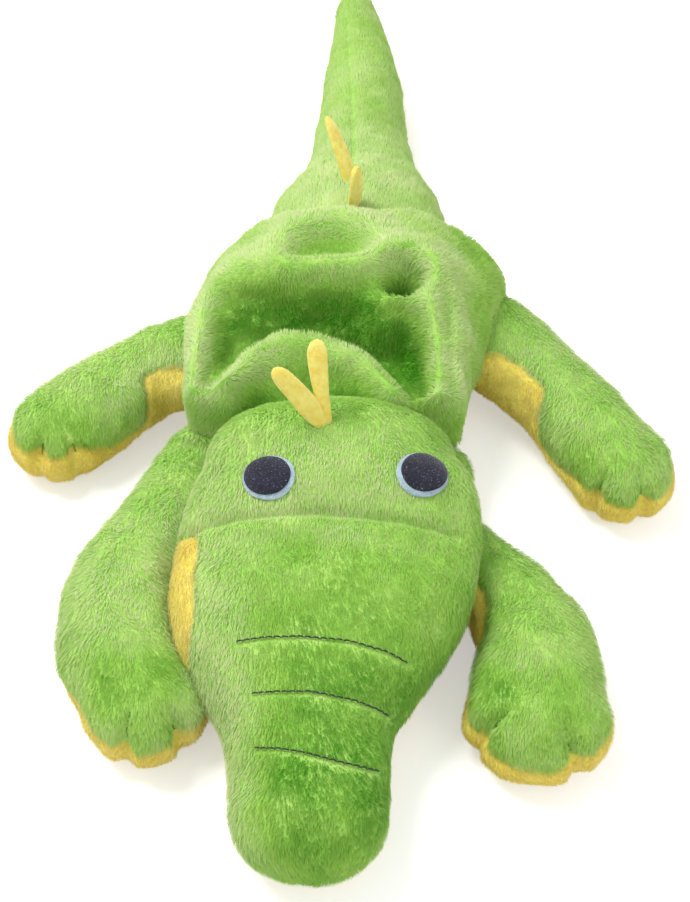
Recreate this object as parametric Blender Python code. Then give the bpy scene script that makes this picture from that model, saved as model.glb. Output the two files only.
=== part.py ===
"""Plush crocodile lying flat on its belly, in metres, +Z up.

The origin is the middle of the belly's flat resting face. The head lies
towards -Y, the tail towards +Y. Each stuffed form is a green upper skin, a
yellow lower skin and the fibre inside them. Head, legs and tail end in round
roots that turn in sockets of the torso, where the fabric of the real toy bends.
"""

import math

import bpy
from mathutils import Matrix, Vector
from mathutils.bvhtree import BVHTree

MM = 0.001

# Fabric, thread and running gaps
SKIN = 3.0 * MM
SEAT_GAP = 0.3 * MM
SOCKET_GAP = 0.8 * MM
HEAD_CLEARANCE = 1.6 * MM
CUT_SIZE = 900.0 * MM
SHARP_EDGE = math.radians(50.0)
ROUND = 2.0

# Torso, a slack bag with three cross folds on its back; its flat is how far the surface presses it up
TORSO_FLAT = 6.0 * MM
TORSO_FRONT = -56.0 * MM
TORSO_REAR = 68.0 * MM
TORSO_HALF_WIDTH = 77.0 * MM
TORSO_WIDEST_Z = 38.0 * MM
TORSO_TOP = 80.0 * MM
TORSO_FRONT_CAP = 14.0 * MM
TORSO_REAR_CAP = 12.0 * MM
TORSO_DRIFT = 8.0 * MM
TORSO_SEAM_Z = 22.0 * MM
TORSO_FOLD = 22.0 * MM
TORSO_STUFFING_TOP = 50.0 * MM
TORSO_SQUARENESS = 2.4
TORSO_WIDTH_SHARES = ((0.0, 0.80), (0.29, 0.87), (0.51, 0.94), (0.77, 0.96), (1.0, 0.76))
TORSO_DRIFT_SHARES = ((0.0, -1.0), (0.29, -1.0), (0.51, -0.4), (0.77, 0.6), (1.0, 1.1))
TORSO_TOP_SHARES = ((0.0, 0.92), (0.3, 0.98), (0.6, 1.07), (0.85, 1.04), (1.0, 0.97))
TORSO_FOLD_SHARES = (
    (0.0, 0.25), (0.12, 0.10), (0.26, 0.0), (0.36, 0.35), (0.46, 1.0), (0.54, 0.55),
    (0.64, 0.0), (0.75, 0.42), (0.87, 0.0), (1.0, 0.15),
)

# Head, from its round back to the blunt end of the snout
HEAD_X = -6.0 * MM
HEAD_Y = -78.0 * MM
HEAD_Z = 43.0 * MM
HEAD_CENTRE = Vector((HEAD_X, HEAD_Y, HEAD_Z))
HEAD_ROOT_HALF_WIDTH = 48.0 * MM
HEAD_ROOT_RADIUS = 36.0 * MM
HEAD_LENGTH = 181.0 * MM
HEAD_FLAT = 5.0 * MM
HEAD_HALF_WIDTH = 65.0 * MM
HEAD_HEIGHT = 79.0 * MM
HEAD_DRIFT = 9.0 * MM
HEAD_LEAN = 7.0 * MM
SNOUT_CAP = 27.0 * MM
HEAD_SEAM_REAR_Z = 30.0 * MM
HEAD_SEAM_FRONT_Z = 9.0 * MM
FOREHEAD_LENGTH = 39.0 * MM
HEAD_SQUARENESS = 2.15
HEAD_WIDTH_SHARES = (
    (0.0, 0.74), (0.06, 0.93), (0.18, 1.0), (0.33, 1.0), (0.46, 0.89),
    (0.55, 0.76), (0.66, 0.57), (0.81, 0.51), (1.0, 0.49),
)
HEAD_DRIFT_SHARES = ((0.0, 0.0), (0.18, 0.15), (0.33, 0.5), (0.5, 0.85), (0.66, 1.0), (1.0, 0.75))
HEAD_LEAN_SHARES = ((0.0, 0.0), (0.1, 1.0), (0.33, 0.9), (0.66, 0.6), (1.0, 0.4))
HEAD_TOP_SHARES = (
    (0.0, 1.0), (0.12, 0.96), (0.21, 0.86), (0.27, 0.81), (0.36, 0.82), (0.46, 0.79),
    (0.55, 0.76), (0.66, 0.72), (0.8, 0.65), (1.0, 0.57),
)
HEAD_WIDEST_SHARES = ((0.0, 0.54), (0.18, 0.52), (0.34, 0.48), (0.55, 0.38), (0.68, 0.33), (1.0, 0.29))
HEAD_BELLY_SHARES = ((0.0, 1.0), (0.07, 0.0), (1.0, 0.0))

# Tail, tapering to a rounded tip
TAIL_X = 4.0 * MM
TAIL_Y = 62.0 * MM
TAIL_Z = 39.0 * MM
TAIL_CENTRE = Vector((TAIL_X, TAIL_Y, TAIL_Z))
TAIL_ROOT_RADIUS = 47.0 * MM
TAIL_ROOT_HALF_HEIGHT = 33.0 * MM
TAIL_LENGTH = 256.0 * MM
TAIL_FLAT = 4.0 * MM
TAIL_TOP = 72.0 * MM
TAIL_DRIFT = 5.5 * MM
TAIL_CAP = 17.0 * MM
TAIL_SEAM_Z = 14.0 * MM
TAIL_SOCKET_GAP = 4.6 * MM
TAIL_SOCKET_RISE = 0.9 * MM
TAIL_SQUARENESS = 2.0
TAIL_WIDTH_SHARES = (
    (0.0, 1.0), (0.07, 0.99), (0.17, 0.9), (0.235, 0.73), (0.3, 0.63),
    (0.36, 0.59), (0.46, 0.55), (0.62, 0.49), (0.77, 0.39), (0.9, 0.29), (1.0, 0.24),
)
TAIL_DRIFT_SHARES = ((0.0, 0.0), (0.12, 0.35), (0.235, 0.8), (0.43, 0.85), (0.61, 1.0), (0.8, 0.9), (1.0, 0.2))
TAIL_TOP_SHARES = (
    (0.0, 1.0), (0.07, 1.0), (0.15, 0.98), (0.25, 0.89), (0.42, 0.74), (0.6, 0.66), (0.8, 0.57), (1.0, 0.46),
)
TAIL_WIDEST_SHARES = ((0.0, 0.542), (0.07, 0.542), (0.25, 0.4), (0.42, 0.33), (0.6, 0.29), (1.0, 0.22))
TAIL_BELLY_SHARES = ((0.0, 1.0), (0.1, 1.0), (0.25, 0.0), (1.0, 0.0))

# Legs: the spine runs from the root to the last full section of the paw, in shares of the reach
LEG_SEAM_Z = 17.0 * MM
LEG_SQUARENESS = 2.1
LEG_WIDEST_Z = 16.0 * MM
LEG_FLAT = 2.5 * MM
PAW_HEIGHT = 42.0 * MM
TOE_GROOVE = 3.4 * MM
TOE_GROOVE_SPREAD = 0.13
TOE_PLACE_SHARES = (-0.4, 0.4)
TOE_ANGLE = math.radians(67.5)
FRONT_ROOT_RADIUS = 22.0 * MM
FRONT_ROOT_HALF_HEIGHT = 17.0 * MM
FRONT_ROOT_Z = 22.0 * MM
REAR_ROOT_RADIUS = 26.0 * MM
REAR_ROOT_HALF_HEIGHT = 22.0 * MM
REAR_ROOT_Z = 27.0 * MM

LEGS = {
    "front_left": {
        "root_radius": FRONT_ROOT_RADIUS,
        "root_half_height": FRONT_ROOT_HALF_HEIGHT,
        "root_z": FRONT_ROOT_Z,
        "root_x": -64.0 * MM,
        "root_y": -53.0 * MM,
        "reach": 120.0 * MM,
        "spine_shares": (
            (0.0, 0.0), (-0.125, -0.267), (-0.242, -0.542),
            (-0.258, -0.792), (-0.133, -1.025),
        ),
        "half_width": 27.5 * MM,
        "cap": 28.0 * MM,
        "width_shares": ((0.0, 0.80), (0.28, 0.86), (0.55, 1.0), (0.8, 1.0), (1.0, 0.97)),
        "top_shares": ((0.0, 0.857), (0.28, 0.95), (0.55, 1.02), (0.8, 1.0), (1.0, 0.93)),
    },
    "front_right": {
        "root_radius": FRONT_ROOT_RADIUS,
        "root_half_height": FRONT_ROOT_HALF_HEIGHT,
        "root_z": FRONT_ROOT_Z,
        "root_x": 52.0 * MM,
        "root_y": -53.0 * MM,
        "reach": 128.0 * MM,
        "spine_shares": ((0.0, 0.0), (-0.016, -0.25), (0.102, -0.492), (0.219, -0.727), (0.234, -1.023)),
        "half_width": 31.0 * MM,
        "cap": 29.0 * MM,
        "width_shares": ((0.0, 0.71), (0.28, 0.62), (0.52, 0.66), (0.78, 0.84), (1.0, 1.0)),
        "top_shares": ((0.0, 0.857), (0.28, 0.74), (0.55, 0.84), (0.8, 1.0), (1.0, 0.93)),
    },
    "rear_left": {
        "root_radius": REAR_ROOT_RADIUS,
        "root_half_height": REAR_ROOT_HALF_HEIGHT,
        "root_z": REAR_ROOT_Z,
        "root_x": -72.0 * MM,
        "root_y": 7.0 * MM,
        "reach": 70.0 * MM,
        "spine_shares": ((0.0, 0.0), (-0.3, -0.086), (-0.6, -0.3), (-0.886, -0.529)),
        "half_width": 25.0 * MM,
        "cap": 26.0 * MM,
        "width_shares": ((0.0, 1.04), (0.35, 0.85), (0.7, 0.98), (1.0, 1.0)),
        "top_shares": ((0.0, 1.095), (0.35, 0.98), (0.7, 0.96), (1.0, 0.90)),
    },
    "rear_right": {
        "root_radius": REAR_ROOT_RADIUS,
        "root_half_height": REAR_ROOT_HALF_HEIGHT,
        "root_z": REAR_ROOT_Z,
        "root_x": 73.5 * MM,
        "root_y": 18.4 * MM,
        "reach": 87.0 * MM,
        "spine_shares": ((0.0, 0.0), (0.178, -0.177), (0.385, -0.464), (0.615, -0.821)),
        "half_width": 27.0 * MM,
        "cap": 28.0 * MM,
        "width_shares": ((0.0, 0.963), (0.3, 0.76), (0.6, 0.79), (1.0, 0.96)),
        "top_shares": ((0.0, 1.095), (0.35, 0.95), (0.7, 0.96), (1.0, 0.93)),
    },
}

# Felt eyes, on the forehead
EYE_RADIUS = 10.2 * MM
EYE_RING_RADIUS = 11.6 * MM
FELT = 1.2 * MM
FELT_LIFT = 1.2 * MM
EYE_SPREAD = 33.0 * MM
EYE_AHEAD = 20.0 * MM
EYE_OFFSET = 6.5 * MM
EYE_TALL_SHARE = 0.95
EYE_RING_SHARES = (0.4, 0.75, 1.0)

# Felt spikes: root in shares of the half width and the length that carry them, then length and lean
SPIKE_THICKNESS = 2.6 * MM
SPIKE_HALF_WIDTH = 4.6 * MM
SPIKE_ROOT_SHARE = 0.62
SPIKE_SINK = 0.6 * MM
SPIKE_TIP_STEPS = 8
NECK_SPIKES = {
    "neck_spike_left": {
        "length": 34.0 * MM, "root_shares": (-0.069, -0.006),
        "lean": (-0.589, 0.147, 0.795), "facing": (0.0, -0.64, 0.77),
    },
    "neck_spike_right": {
        "length": 35.6 * MM, "root_shares": (0.023, -0.006),
        "lean": (-0.112, 0.478, 0.871), "facing": (0.0, -0.64, 0.77),
    },
}
TAIL_SPIKES = {
    "tail_spike_front": {
        "length": 25.2 * MM, "root_shares": (0.011, 0.0625),
        "lean": (0.0, 0.119, 0.993), "facing": (0.95, -0.3, 0.0),
    },
    "tail_spike_rear": {
        "length": 31.5 * MM, "root_shares": (-0.011, 0.117),
        "lean": (-0.349, 0.444, 0.825), "facing": (0.9, -0.4, 0.2),
    },
}

# Thread rows: on the snout, ends in shares of its length and of its half width there, and between the toes
THREAD_RADIUS = 0.55 * MM
THREAD_LIFT = 0.8 * MM
TOE_THREAD_LIFT = 1.3 * MM
SNOUT_BOW = 4.0 * MM
SNOUT_ROWS = (
    {"left_shares": (0.53, -0.563), "right_shares": (0.569, 0.879), "bow_share": 1.0},
    {"left_shares": (0.652, -0.558), "right_shares": (0.691, 0.927), "bow_share": 0.75},
    {"left_shares": (0.768, -0.548), "right_shares": (0.801, 0.85), "bow_share": 0.5},
)

# Mesh density
SIDES = 12
TORSO_RINGS = 14
HEAD_RINGS = 11
TAIL_RINGS = 7
LEG_RINGS = 5
CAP_RINGS = 3
INNER_SIDES = 6
INNER_TURN_SHARE = 0.5
SOCKET_SIDES = 24
SOCKET_RINGS = 10
LEG_SOCKET_SIDES = 20
LEG_SOCKET_RINGS = 9
CORE_SOCKET_SIDES = 8
CORE_SOCKET_RINGS = 5
CORE_SOCKET_SHARE = 1.15
THREAD_POINTS = 16


def clear_scene():
    """Remove every object of the file that the script starts in."""
    for obj in list(bpy.data.objects):
        bpy.data.objects.remove(obj, do_unlink=True)


def make_material(name, colour, roughness, sheen=0.0):
    """A fabric finish for the sub-parts."""
    mat = bpy.data.materials.new(name)
    mat.use_nodes = True
    shader = mat.node_tree.nodes["Principled BSDF"]
    shader.inputs["Base Color"].default_value = (*colour, 1.0)
    shader.inputs["Roughness"].default_value = roughness
    shader.inputs["Metallic"].default_value = 0.0
    shader.inputs["Sheen Weight"].default_value = sheen
    return mat


def along(shares, place):
    """Value of a table of shares at a place, on a smooth curve through its rows."""
    places = [row[0] for row in shares]
    values = [row[1] for row in shares]
    last = len(shares) - 2
    index = max(i for i in range(last + 1) if i == 0 or places[i] <= place)
    slopes = []
    for i in (index, index + 1):
        before, after = max(i - 1, 0), min(i + 1, last + 1)
        slopes.append((values[after] - values[before]) / (places[after] - places[before]))
    span = places[index + 1] - places[index]
    t = min(max((place - places[index]) / span, 0.0), 1.0)
    ease = t * t * (3.0 - 2.0 * t)
    rise = values[index] + (values[index + 1] - values[index]) * ease
    bend = slopes[0] * t * (1.0 - t) ** 2 - slopes[1] * t * t * (1.0 - t)
    return rise + bend * span


def spread(first, last, count):
    """Evenly spaced places between two ends."""
    return [first + (last - first) * i / (count - 1) for i in range(count)]


class Section:
    """One cross section of a stuffed form."""

    def __init__(self, centre, side, half_width, up, down, squareness):
        self.centre = centre
        self.side = side
        self.half_width = half_width
        self.up = up
        self.down = down
        self.squareness = squareness
        self.fold = 0.0
        self.groove = 0.0
        self.lean = 0.0
        self.ahead = Vector((side.y, -side.x, 0.0))

    def point(self, angle, floor):
        """Point of the section at an angle, no lower than the floor it rests on."""
        power = 2.0 / self.squareness
        across = math.copysign(abs(math.cos(angle)) ** power, math.cos(angle))
        rise = math.copysign(abs(math.sin(angle)) ** power, math.sin(angle))
        point = self.centre + self.side * (self.half_width * across)
        point.z += (self.up if rise > 0.0 else self.down) * rise
        point.z -= self.fold * max(rise, 0.0) ** 2
        point += self.side * (self.lean * max(rise, 0.0))
        if self.groove:
            depth = sum(math.exp(-((across - toe) / TOE_GROOVE_SPREAD) ** 2) for toe in TOE_PLACE_SHARES)
            point.z -= math.copysign(self.groove * depth, rise) * abs(rise)
            point -= self.ahead * (self.groove * depth)
        point.z = max(point.z, floor)
        return point


def even_turns(sides, shift=0.0):
    """Even angles around a section, moved on by a share of one step."""
    return [math.tau * (i + shift) / sides for i in range(sides)]


def toed_turns(sides):
    """Angles around a section, the nearest ones moved onto the toe grooves."""
    turns = even_turns(sides)
    for groove in (TOE_ANGLE, math.pi - TOE_ANGLE, math.pi + TOE_ANGLE, math.tau - TOE_ANGLE):
        nearest = min(range(sides), key=lambda i: abs(turns[i] - groove))
        turns[nearest] = groove
    return turns


def form_mesh(sections, turns, start, end, floor):
    """Closed mesh through the sections, with a pole at each end."""
    sides = len(turns)
    points = [start]
    for section in sections:
        points += [section.point(turn, floor) for turn in turns]
    points.append(end)
    faces = []
    for i in range(sides):
        j = (i + 1) % sides
        faces.append((0, 1 + j, 1 + i))
        for ring in range(len(sections) - 1):
            low = 1 + ring * sides
            faces.append((low + i, low + j, low + sides + j))
            faces.append((low + i, low + sides + j, low + sides + i))
        base = 1 + (len(sections) - 1) * sides
        faces.append((base + i, base + j, len(points) - 1))
    return points, faces


def solid(name, points, faces, material=None):
    """Object made of a closed mesh, faces turned outward."""
    mesh = bpy.data.meshes.new(name)
    mesh.from_pydata([tuple(point) for point in points], [], faces)
    mesh.update()
    obj = bpy.data.objects.new(name, mesh)
    bpy.context.scene.collection.objects.link(obj)
    volume = 0.0
    for poly in mesh.polygons:
        corners = [mesh.vertices[i].co for i in poly.vertices]
        for a, b in zip(corners[1:], corners[2:]):
            volume += corners[0].dot(a.cross(b))
    if volume < 0.0:
        mesh.flip_normals()
    mesh.shade_smooth()
    mesh.set_sharp_from_angle(angle=SHARP_EDGE)
    if material:
        mesh.materials.append(material)
    return obj


def cutter(name, points, faces):
    """Solid that only cuts others."""
    obj = solid(name, points, faces)
    obj.hide_render = True
    obj.display_type = "WIRE"
    return obj


def cut(obj, tool):
    """Take a cutter away from an object."""
    mod = obj.modifiers.new(tool.name, "BOOLEAN")
    mod.operation = "DIFFERENCE"
    mod.solver = "EXACT"
    mod.object = tool


def block(name, low, high, tilt=None):
    """Box cutter between two corners, tilted about the origin if asked."""
    points = [Vector((x, y, z)) for z in (low.z, high.z) for y in (low.y, high.y) for x in (low.x, high.x)]
    if tilt:
        points = [tilt @ point for point in points]
    faces = [(0, 2, 3, 1), (4, 5, 7, 6), (0, 1, 5, 4), (1, 3, 7, 5), (3, 2, 6, 7), (2, 0, 4, 6)]
    return cutter(name, points, faces)


def ellipsoid(name, centre, radii, sides, rings):
    """Cutter for a socket, a ball with three radii."""
    points = [centre + Vector((0.0, 0.0, -radii.z))]
    for ring in range(1, rings):
        tilt = math.pi * ring / rings
        for i in range(sides):
            turn = math.tau * i / sides
            points.append(centre + Vector((
                radii.x * math.sin(tilt) * math.cos(turn),
                radii.y * math.sin(tilt) * math.sin(turn),
                -radii.z * math.cos(tilt),
            )))
    points.append(centre + Vector((0.0, 0.0, radii.z)))
    faces = []
    for i in range(sides):
        j = (i + 1) % sides
        faces.append((0, 1 + j, 1 + i))
        for ring in range(rings - 2):
            low = 1 + ring * sides
            faces.append((low + i, low + j, low + sides + j, low + sides + i))
        base = 1 + (rings - 2) * sides
        faces.append((base + i, base + j, len(points) - 1))
    return cutter(name, points, faces)


def seam_cutters(name, rear, front=None, y_rear=0.0, y_front=0.0):
    """Two blocks that leave the fabric above or below a seam, with a sewing gap."""
    slope = math.atan((front - rear) / (y_front - y_rear)) if front is not None else 0.0
    tilt = Matrix.Translation(Vector((0.0, y_rear, rear))) @ Matrix.Rotation(slope, 4, "X")
    half = SEAT_GAP / 2.0
    far = Vector((CUT_SIZE, CUT_SIZE, CUT_SIZE))
    below = block(name + "_below", -far, Vector((CUT_SIZE, CUT_SIZE, half)), tilt)
    above = block(name + "_above", Vector((-CUT_SIZE, -CUT_SIZE, -half)), far, tilt)
    return below, above


def round_root(centre, side, radius, half_width, half_height, inset, rings):
    """Sections of a ball-shaped root, up to its middle."""
    ahead = Vector((side.y, -side.x, 0.0))
    reach, wide, tall = radius - inset, half_width - inset, half_height - inset
    sections = []
    for i in range(1, rings + 1):
        angle = math.pi / 2.0 * i / (rings + 1)
        place = centre - ahead * (reach * math.cos(angle))
        scale = math.sin(angle)
        sections.append(Section(place, side, wide * scale, tall * scale, tall * scale, ROUND))
    return sections, centre - ahead * reach


def round_tip(last, length, inset, rings):
    """Sections that close a form beyond its last full section."""
    reach = length - inset
    sections = []
    for i in range(1, rings + 1):
        angle = math.pi / 2.0 * i / (rings + 1)
        scale = math.cos(angle)
        centre = last.centre + last.ahead * (reach * math.sin(angle))
        section = Section(centre, last.side, last.half_width * scale, last.up * scale, last.down * scale,
                          last.squareness)
        section.groove = last.groove * scale
        section.lean = last.lean * scale
        sections.append(section)
    return sections, last.centre + last.ahead * reach


def torso_form(inset, sides, floor):
    """The slack torso, folds on top."""
    side = Vector((-1.0, 0.0, 0.0))
    front, rear = TORSO_FRONT + TORSO_FRONT_CAP, TORSO_REAR - TORSO_REAR_CAP
    body = []
    for y in spread(front, rear, TORSO_RINGS):
        place = (y - TORSO_FRONT) / (TORSO_REAR - TORSO_FRONT)
        centre = Vector((TORSO_DRIFT * along(TORSO_DRIFT_SHARES, place), y, TORSO_WIDEST_Z))
        top = TORSO_TOP * along(TORSO_TOP_SHARES, place)
        section = Section(centre, side, TORSO_HALF_WIDTH * along(TORSO_WIDTH_SHARES, place) - inset,
                          top - TORSO_WIDEST_Z - inset, TORSO_WIDEST_Z + TORSO_FLAT - inset, TORSO_SQUARENESS)
        section.fold = TORSO_FOLD * along(TORSO_FOLD_SHARES, place)
        body.append(section)
    tip, end = round_tip(body[-1], TORSO_REAR_CAP, inset, CAP_RINGS)
    first = body[0]
    nose = Section(first.centre, -side, first.half_width, first.up, first.down, first.squareness)
    lead, start = round_tip(nose, TORSO_FRONT_CAP, inset, CAP_RINGS)
    for section in lead:
        section.side = side
    return form_mesh(lead[::-1] + body + tip, even_turns(sides), start, end, floor)


def torso_stuffing_form(floor):
    """Plain fibre pillow, lower than the folds."""
    side = Vector((-1.0, 0.0, 0.0))
    inset = SKIN + SEAT_GAP
    front, rear = TORSO_FRONT + TORSO_FRONT_CAP, TORSO_REAR - TORSO_REAR_CAP
    body = []
    for y in spread(front, rear, LEG_RINGS):
        place = (y - TORSO_FRONT) / (TORSO_REAR - TORSO_FRONT)
        centre = Vector((TORSO_DRIFT * along(TORSO_DRIFT_SHARES, place), y, TORSO_WIDEST_Z))
        wide = TORSO_HALF_WIDTH * along(TORSO_WIDTH_SHARES, place) - inset - SKIN
        down = TORSO_WIDEST_Z + TORSO_FLAT - inset
        body.append(Section(centre, side, wide, TORSO_STUFFING_TOP - TORSO_WIDEST_Z, down, ROUND))
    tip, end = round_tip(body[-1], TORSO_REAR_CAP, inset, CAP_RINGS)
    nose = Section(body[0].centre, -side, body[0].half_width, body[0].up, body[0].down, ROUND)
    lead, start = round_tip(nose, TORSO_FRONT_CAP, inset, CAP_RINGS)
    for section in lead:
        section.side = side
    return form_mesh(lead[::-1] + body + tip, even_turns(INNER_SIDES), start, end, floor)


def head_form(inset, sides, rings, floor):
    """Head and snout, from the round back forwards."""
    side = Vector((1.0, 0.0, 0.0))
    root, start = round_root(HEAD_CENTRE, side, HEAD_ROOT_RADIUS, HEAD_ROOT_HALF_WIDTH, HEAD_ROOT_RADIUS,
                             inset, CAP_RINGS)
    body = []
    for place in spread(0.0, 1.0, rings):
        y = HEAD_CENTRE.y - (HEAD_LENGTH - SNOUT_CAP) * place
        share = (HEAD_CENTRE.y - y) / HEAD_LENGTH
        widest = HEAD_HEIGHT * along(HEAD_WIDEST_SHARES, share)
        low = (HEAD_CENTRE.z - HEAD_ROOT_RADIUS + HEAD_FLAT) * along(HEAD_BELLY_SHARES, share) - HEAD_FLAT
        centre = Vector((HEAD_CENTRE.x - HEAD_DRIFT * along(HEAD_DRIFT_SHARES, share), y, widest))
        square = ROUND + (HEAD_SQUARENESS - ROUND) * min(share * len(HEAD_WIDTH_SHARES), 1.0)
        body.append(Section(centre, side, HEAD_HALF_WIDTH * along(HEAD_WIDTH_SHARES, share) - inset,
                            HEAD_HEIGHT * along(HEAD_TOP_SHARES, share) - widest - inset,
                            widest - low - inset, square))
        body[-1].lean = HEAD_LEAN * along(HEAD_LEAN_SHARES, share)
    tip, end = round_tip(body[-1], SNOUT_CAP, inset, CAP_RINGS)
    return form_mesh(root + body + tip, even_turns(sides), start, end, floor)


def tail_form(inset, sides, rings, floor):
    """Tail from its round root backwards."""
    side = Vector((-1.0, 0.0, 0.0))
    root, start = round_root(TAIL_CENTRE, side, TAIL_ROOT_RADIUS, TAIL_ROOT_RADIUS, TAIL_ROOT_HALF_HEIGHT,
                             inset, CAP_RINGS)
    body = []
    for place in spread(0.0, 1.0, rings):
        y = TAIL_CENTRE.y + (TAIL_LENGTH - TAIL_CAP) * place
        share = (y - TAIL_CENTRE.y) / TAIL_LENGTH
        widest = TAIL_TOP * along(TAIL_WIDEST_SHARES, share)
        low = (TAIL_CENTRE.z - TAIL_ROOT_HALF_HEIGHT + TAIL_FLAT) * along(TAIL_BELLY_SHARES, share) - TAIL_FLAT
        centre = Vector((TAIL_CENTRE.x + TAIL_DRIFT * along(TAIL_DRIFT_SHARES, share), y, widest))
        body.append(Section(centre, side, TAIL_ROOT_RADIUS * along(TAIL_WIDTH_SHARES, share) - inset,
                            TAIL_TOP * along(TAIL_TOP_SHARES, share) - widest - inset,
                            widest - low - inset, TAIL_SQUARENESS))
    tip, end = round_tip(body[-1], TAIL_CAP, inset, CAP_RINGS)
    return form_mesh(root + body + tip, even_turns(sides), start, end, floor)


def spine_tables(leg):
    """Tables of x and y along a leg's spine, by share of its length."""
    root_x, root_y, reach = leg["root_x"], leg["root_y"], leg["reach"]
    spine = [(root_x + reach * x, root_y + reach * y) for x, y in leg["spine_shares"]]
    lengths = [0.0]
    for a, b in zip(spine, spine[1:]):
        lengths.append(lengths[-1] + math.dist(a, b))
    places = [length / lengths[-1] for length in lengths]
    xs = [(place, point[0]) for place, point in zip(places, spine)]
    ys = [(place, point[1]) for place, point in zip(places, spine)]
    return xs, ys


def leg_sections(leg, inset, rings):
    """Sections of one leg from its root to its toes, with both poles."""
    xs, ys = spine_tables(leg)
    root_z, half_height = leg["root_z"], leg["root_half_height"]
    step = 1.0 / (2 * rings)
    body = []
    for place in spread(0.0, 1.0, rings):
        before, after = max(place - step, 0.0), min(place + step, 1.0)
        ahead = Vector((along(xs, after) - along(xs, before), along(ys, after) - along(ys, before), 0.0))
        ahead.normalize()
        side = Vector((-ahead.y, ahead.x, 0.0))
        ease = min(place / leg["top_shares"][1][0], 1.0)
        widest = root_z + (LEG_WIDEST_Z - root_z) * ease
        low = (root_z - half_height + LEG_FLAT) * (1.0 - max(2.0 * place - 1.0, 0.0)) - LEG_FLAT
        top = PAW_HEIGHT * along(leg["top_shares"], place)
        wide = leg["half_width"] * along(leg["width_shares"], place)
        section = Section(Vector((along(xs, place), along(ys, place), widest)), side, wide - inset,
                          top - widest - inset, widest - low - inset,
                          ROUND + (LEG_SQUARENESS - ROUND) * ease)
        section.groove = TOE_GROOVE * max(2.0 * place - 1.0, 0.0) ** 2
        body.append(section)
    first = body[0]
    radius = leg["root_radius"]
    root, start = round_root(first.centre, first.side, radius, radius, half_height, inset, CAP_RINGS)
    tip, end = round_tip(body[-1], leg["cap"], inset, CAP_RINGS)
    for section in tip:
        section.groove = TOE_GROOVE
    return root + body + tip, start, end


def leg_form(leg, inset, sides, rings, floor):
    """Closed mesh of one leg, with toe grooves in its outer surface only."""
    sections, start, end = leg_sections(leg, inset, rings)
    if not inset:
        return form_mesh(sections, toed_turns(sides), start, end, floor)
    for section in sections:
        section.groove = 0.0
    return form_mesh(sections, even_turns(sides, INNER_TURN_SHARE), start, end, floor)


def skin_panel(name, outer, hollow, half, material, tools=()):
    """One fabric panel: the form less its hollow and less one side of its seam.

    The tools, if given, cut through the whole skin first.
    """
    panel = solid(name, *outer, material)
    for tool in (*tools, hollow, half):
        cut(panel, tool)
    return panel


def sewn_pair(name, outer, inner, materials, seam, names, dents=(), sockets=()):
    """Upper and lower skin of a form, from its outer and inner surface.

    Two dent cutters, if given, press into the outer and the inner surface.
    """
    below, above = seam
    hollow = cutter(name + "_hollow", *inner)
    if dents:
        cut(hollow, dents[1])
    tools = (*dents[:1], *sockets)
    skin_panel(names[0], outer, hollow, below, materials[0], tools)
    skin_panel(names[1], outer, hollow, above, materials[1], tools)


def surface_of(form):
    """Lookup for points on a form's outer surface."""
    points, faces = form
    return BVHTree.FromPolygons([tuple(point) for point in points], faces)


def over(tree, x, y, lift):
    """Point that lies a lift above the surface at a place in plan."""
    hit, normal, _, _ = tree.ray_cast(Vector((x, y, CUT_SIZE)), Vector((0.0, 0.0, -1.0)))
    if normal.z < 0.0:
        normal = -normal
    return hit + normal * lift


def felt_disc(name, tree, centre, radii, lift, material):
    """Felt oval that follows the surface it is sewn on."""
    rings, sides = len(radii), SIDES
    up = (over(tree, *centre, EYE_RADIUS) - over(tree, *centre, 0.0)).normalized()
    layers = []
    for height in (lift, lift + FELT):
        layer = [over(tree, *centre, 0.0) + up * height]
        for reach in radii:
            for i in range(sides):
                turn = math.tau * i / sides
                x = centre[0] + reach * math.cos(turn)
                y = centre[1] + reach * EYE_TALL_SHARE * math.sin(turn)
                layer.append(over(tree, x, y, 0.0) + up * height)
        layers.append(layer)
    size = len(layers[0])
    points = layers[0] + layers[1]
    faces = []
    for i in range(sides):
        j = (i + 1) % sides
        for base in (0, size):
            faces.append((base, base + 1 + i, base + 1 + j)[::1 if base else -1])
            for ring in range(rings - 1):
                low = base + 1 + ring * sides
                corners = (low + i, low + sides + i, low + sides + j, low + j)
                for pick in ((0, 1, 2), (0, 2, 3)):
                    faces.append(tuple(corners[k] for k in pick)[::1 if base else -1])
        rim = 1 + (rings - 1) * sides
        faces.append((rim + i, rim + j, size + rim + j, size + rim + i))
    return solid(name, points, faces, material)


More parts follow.
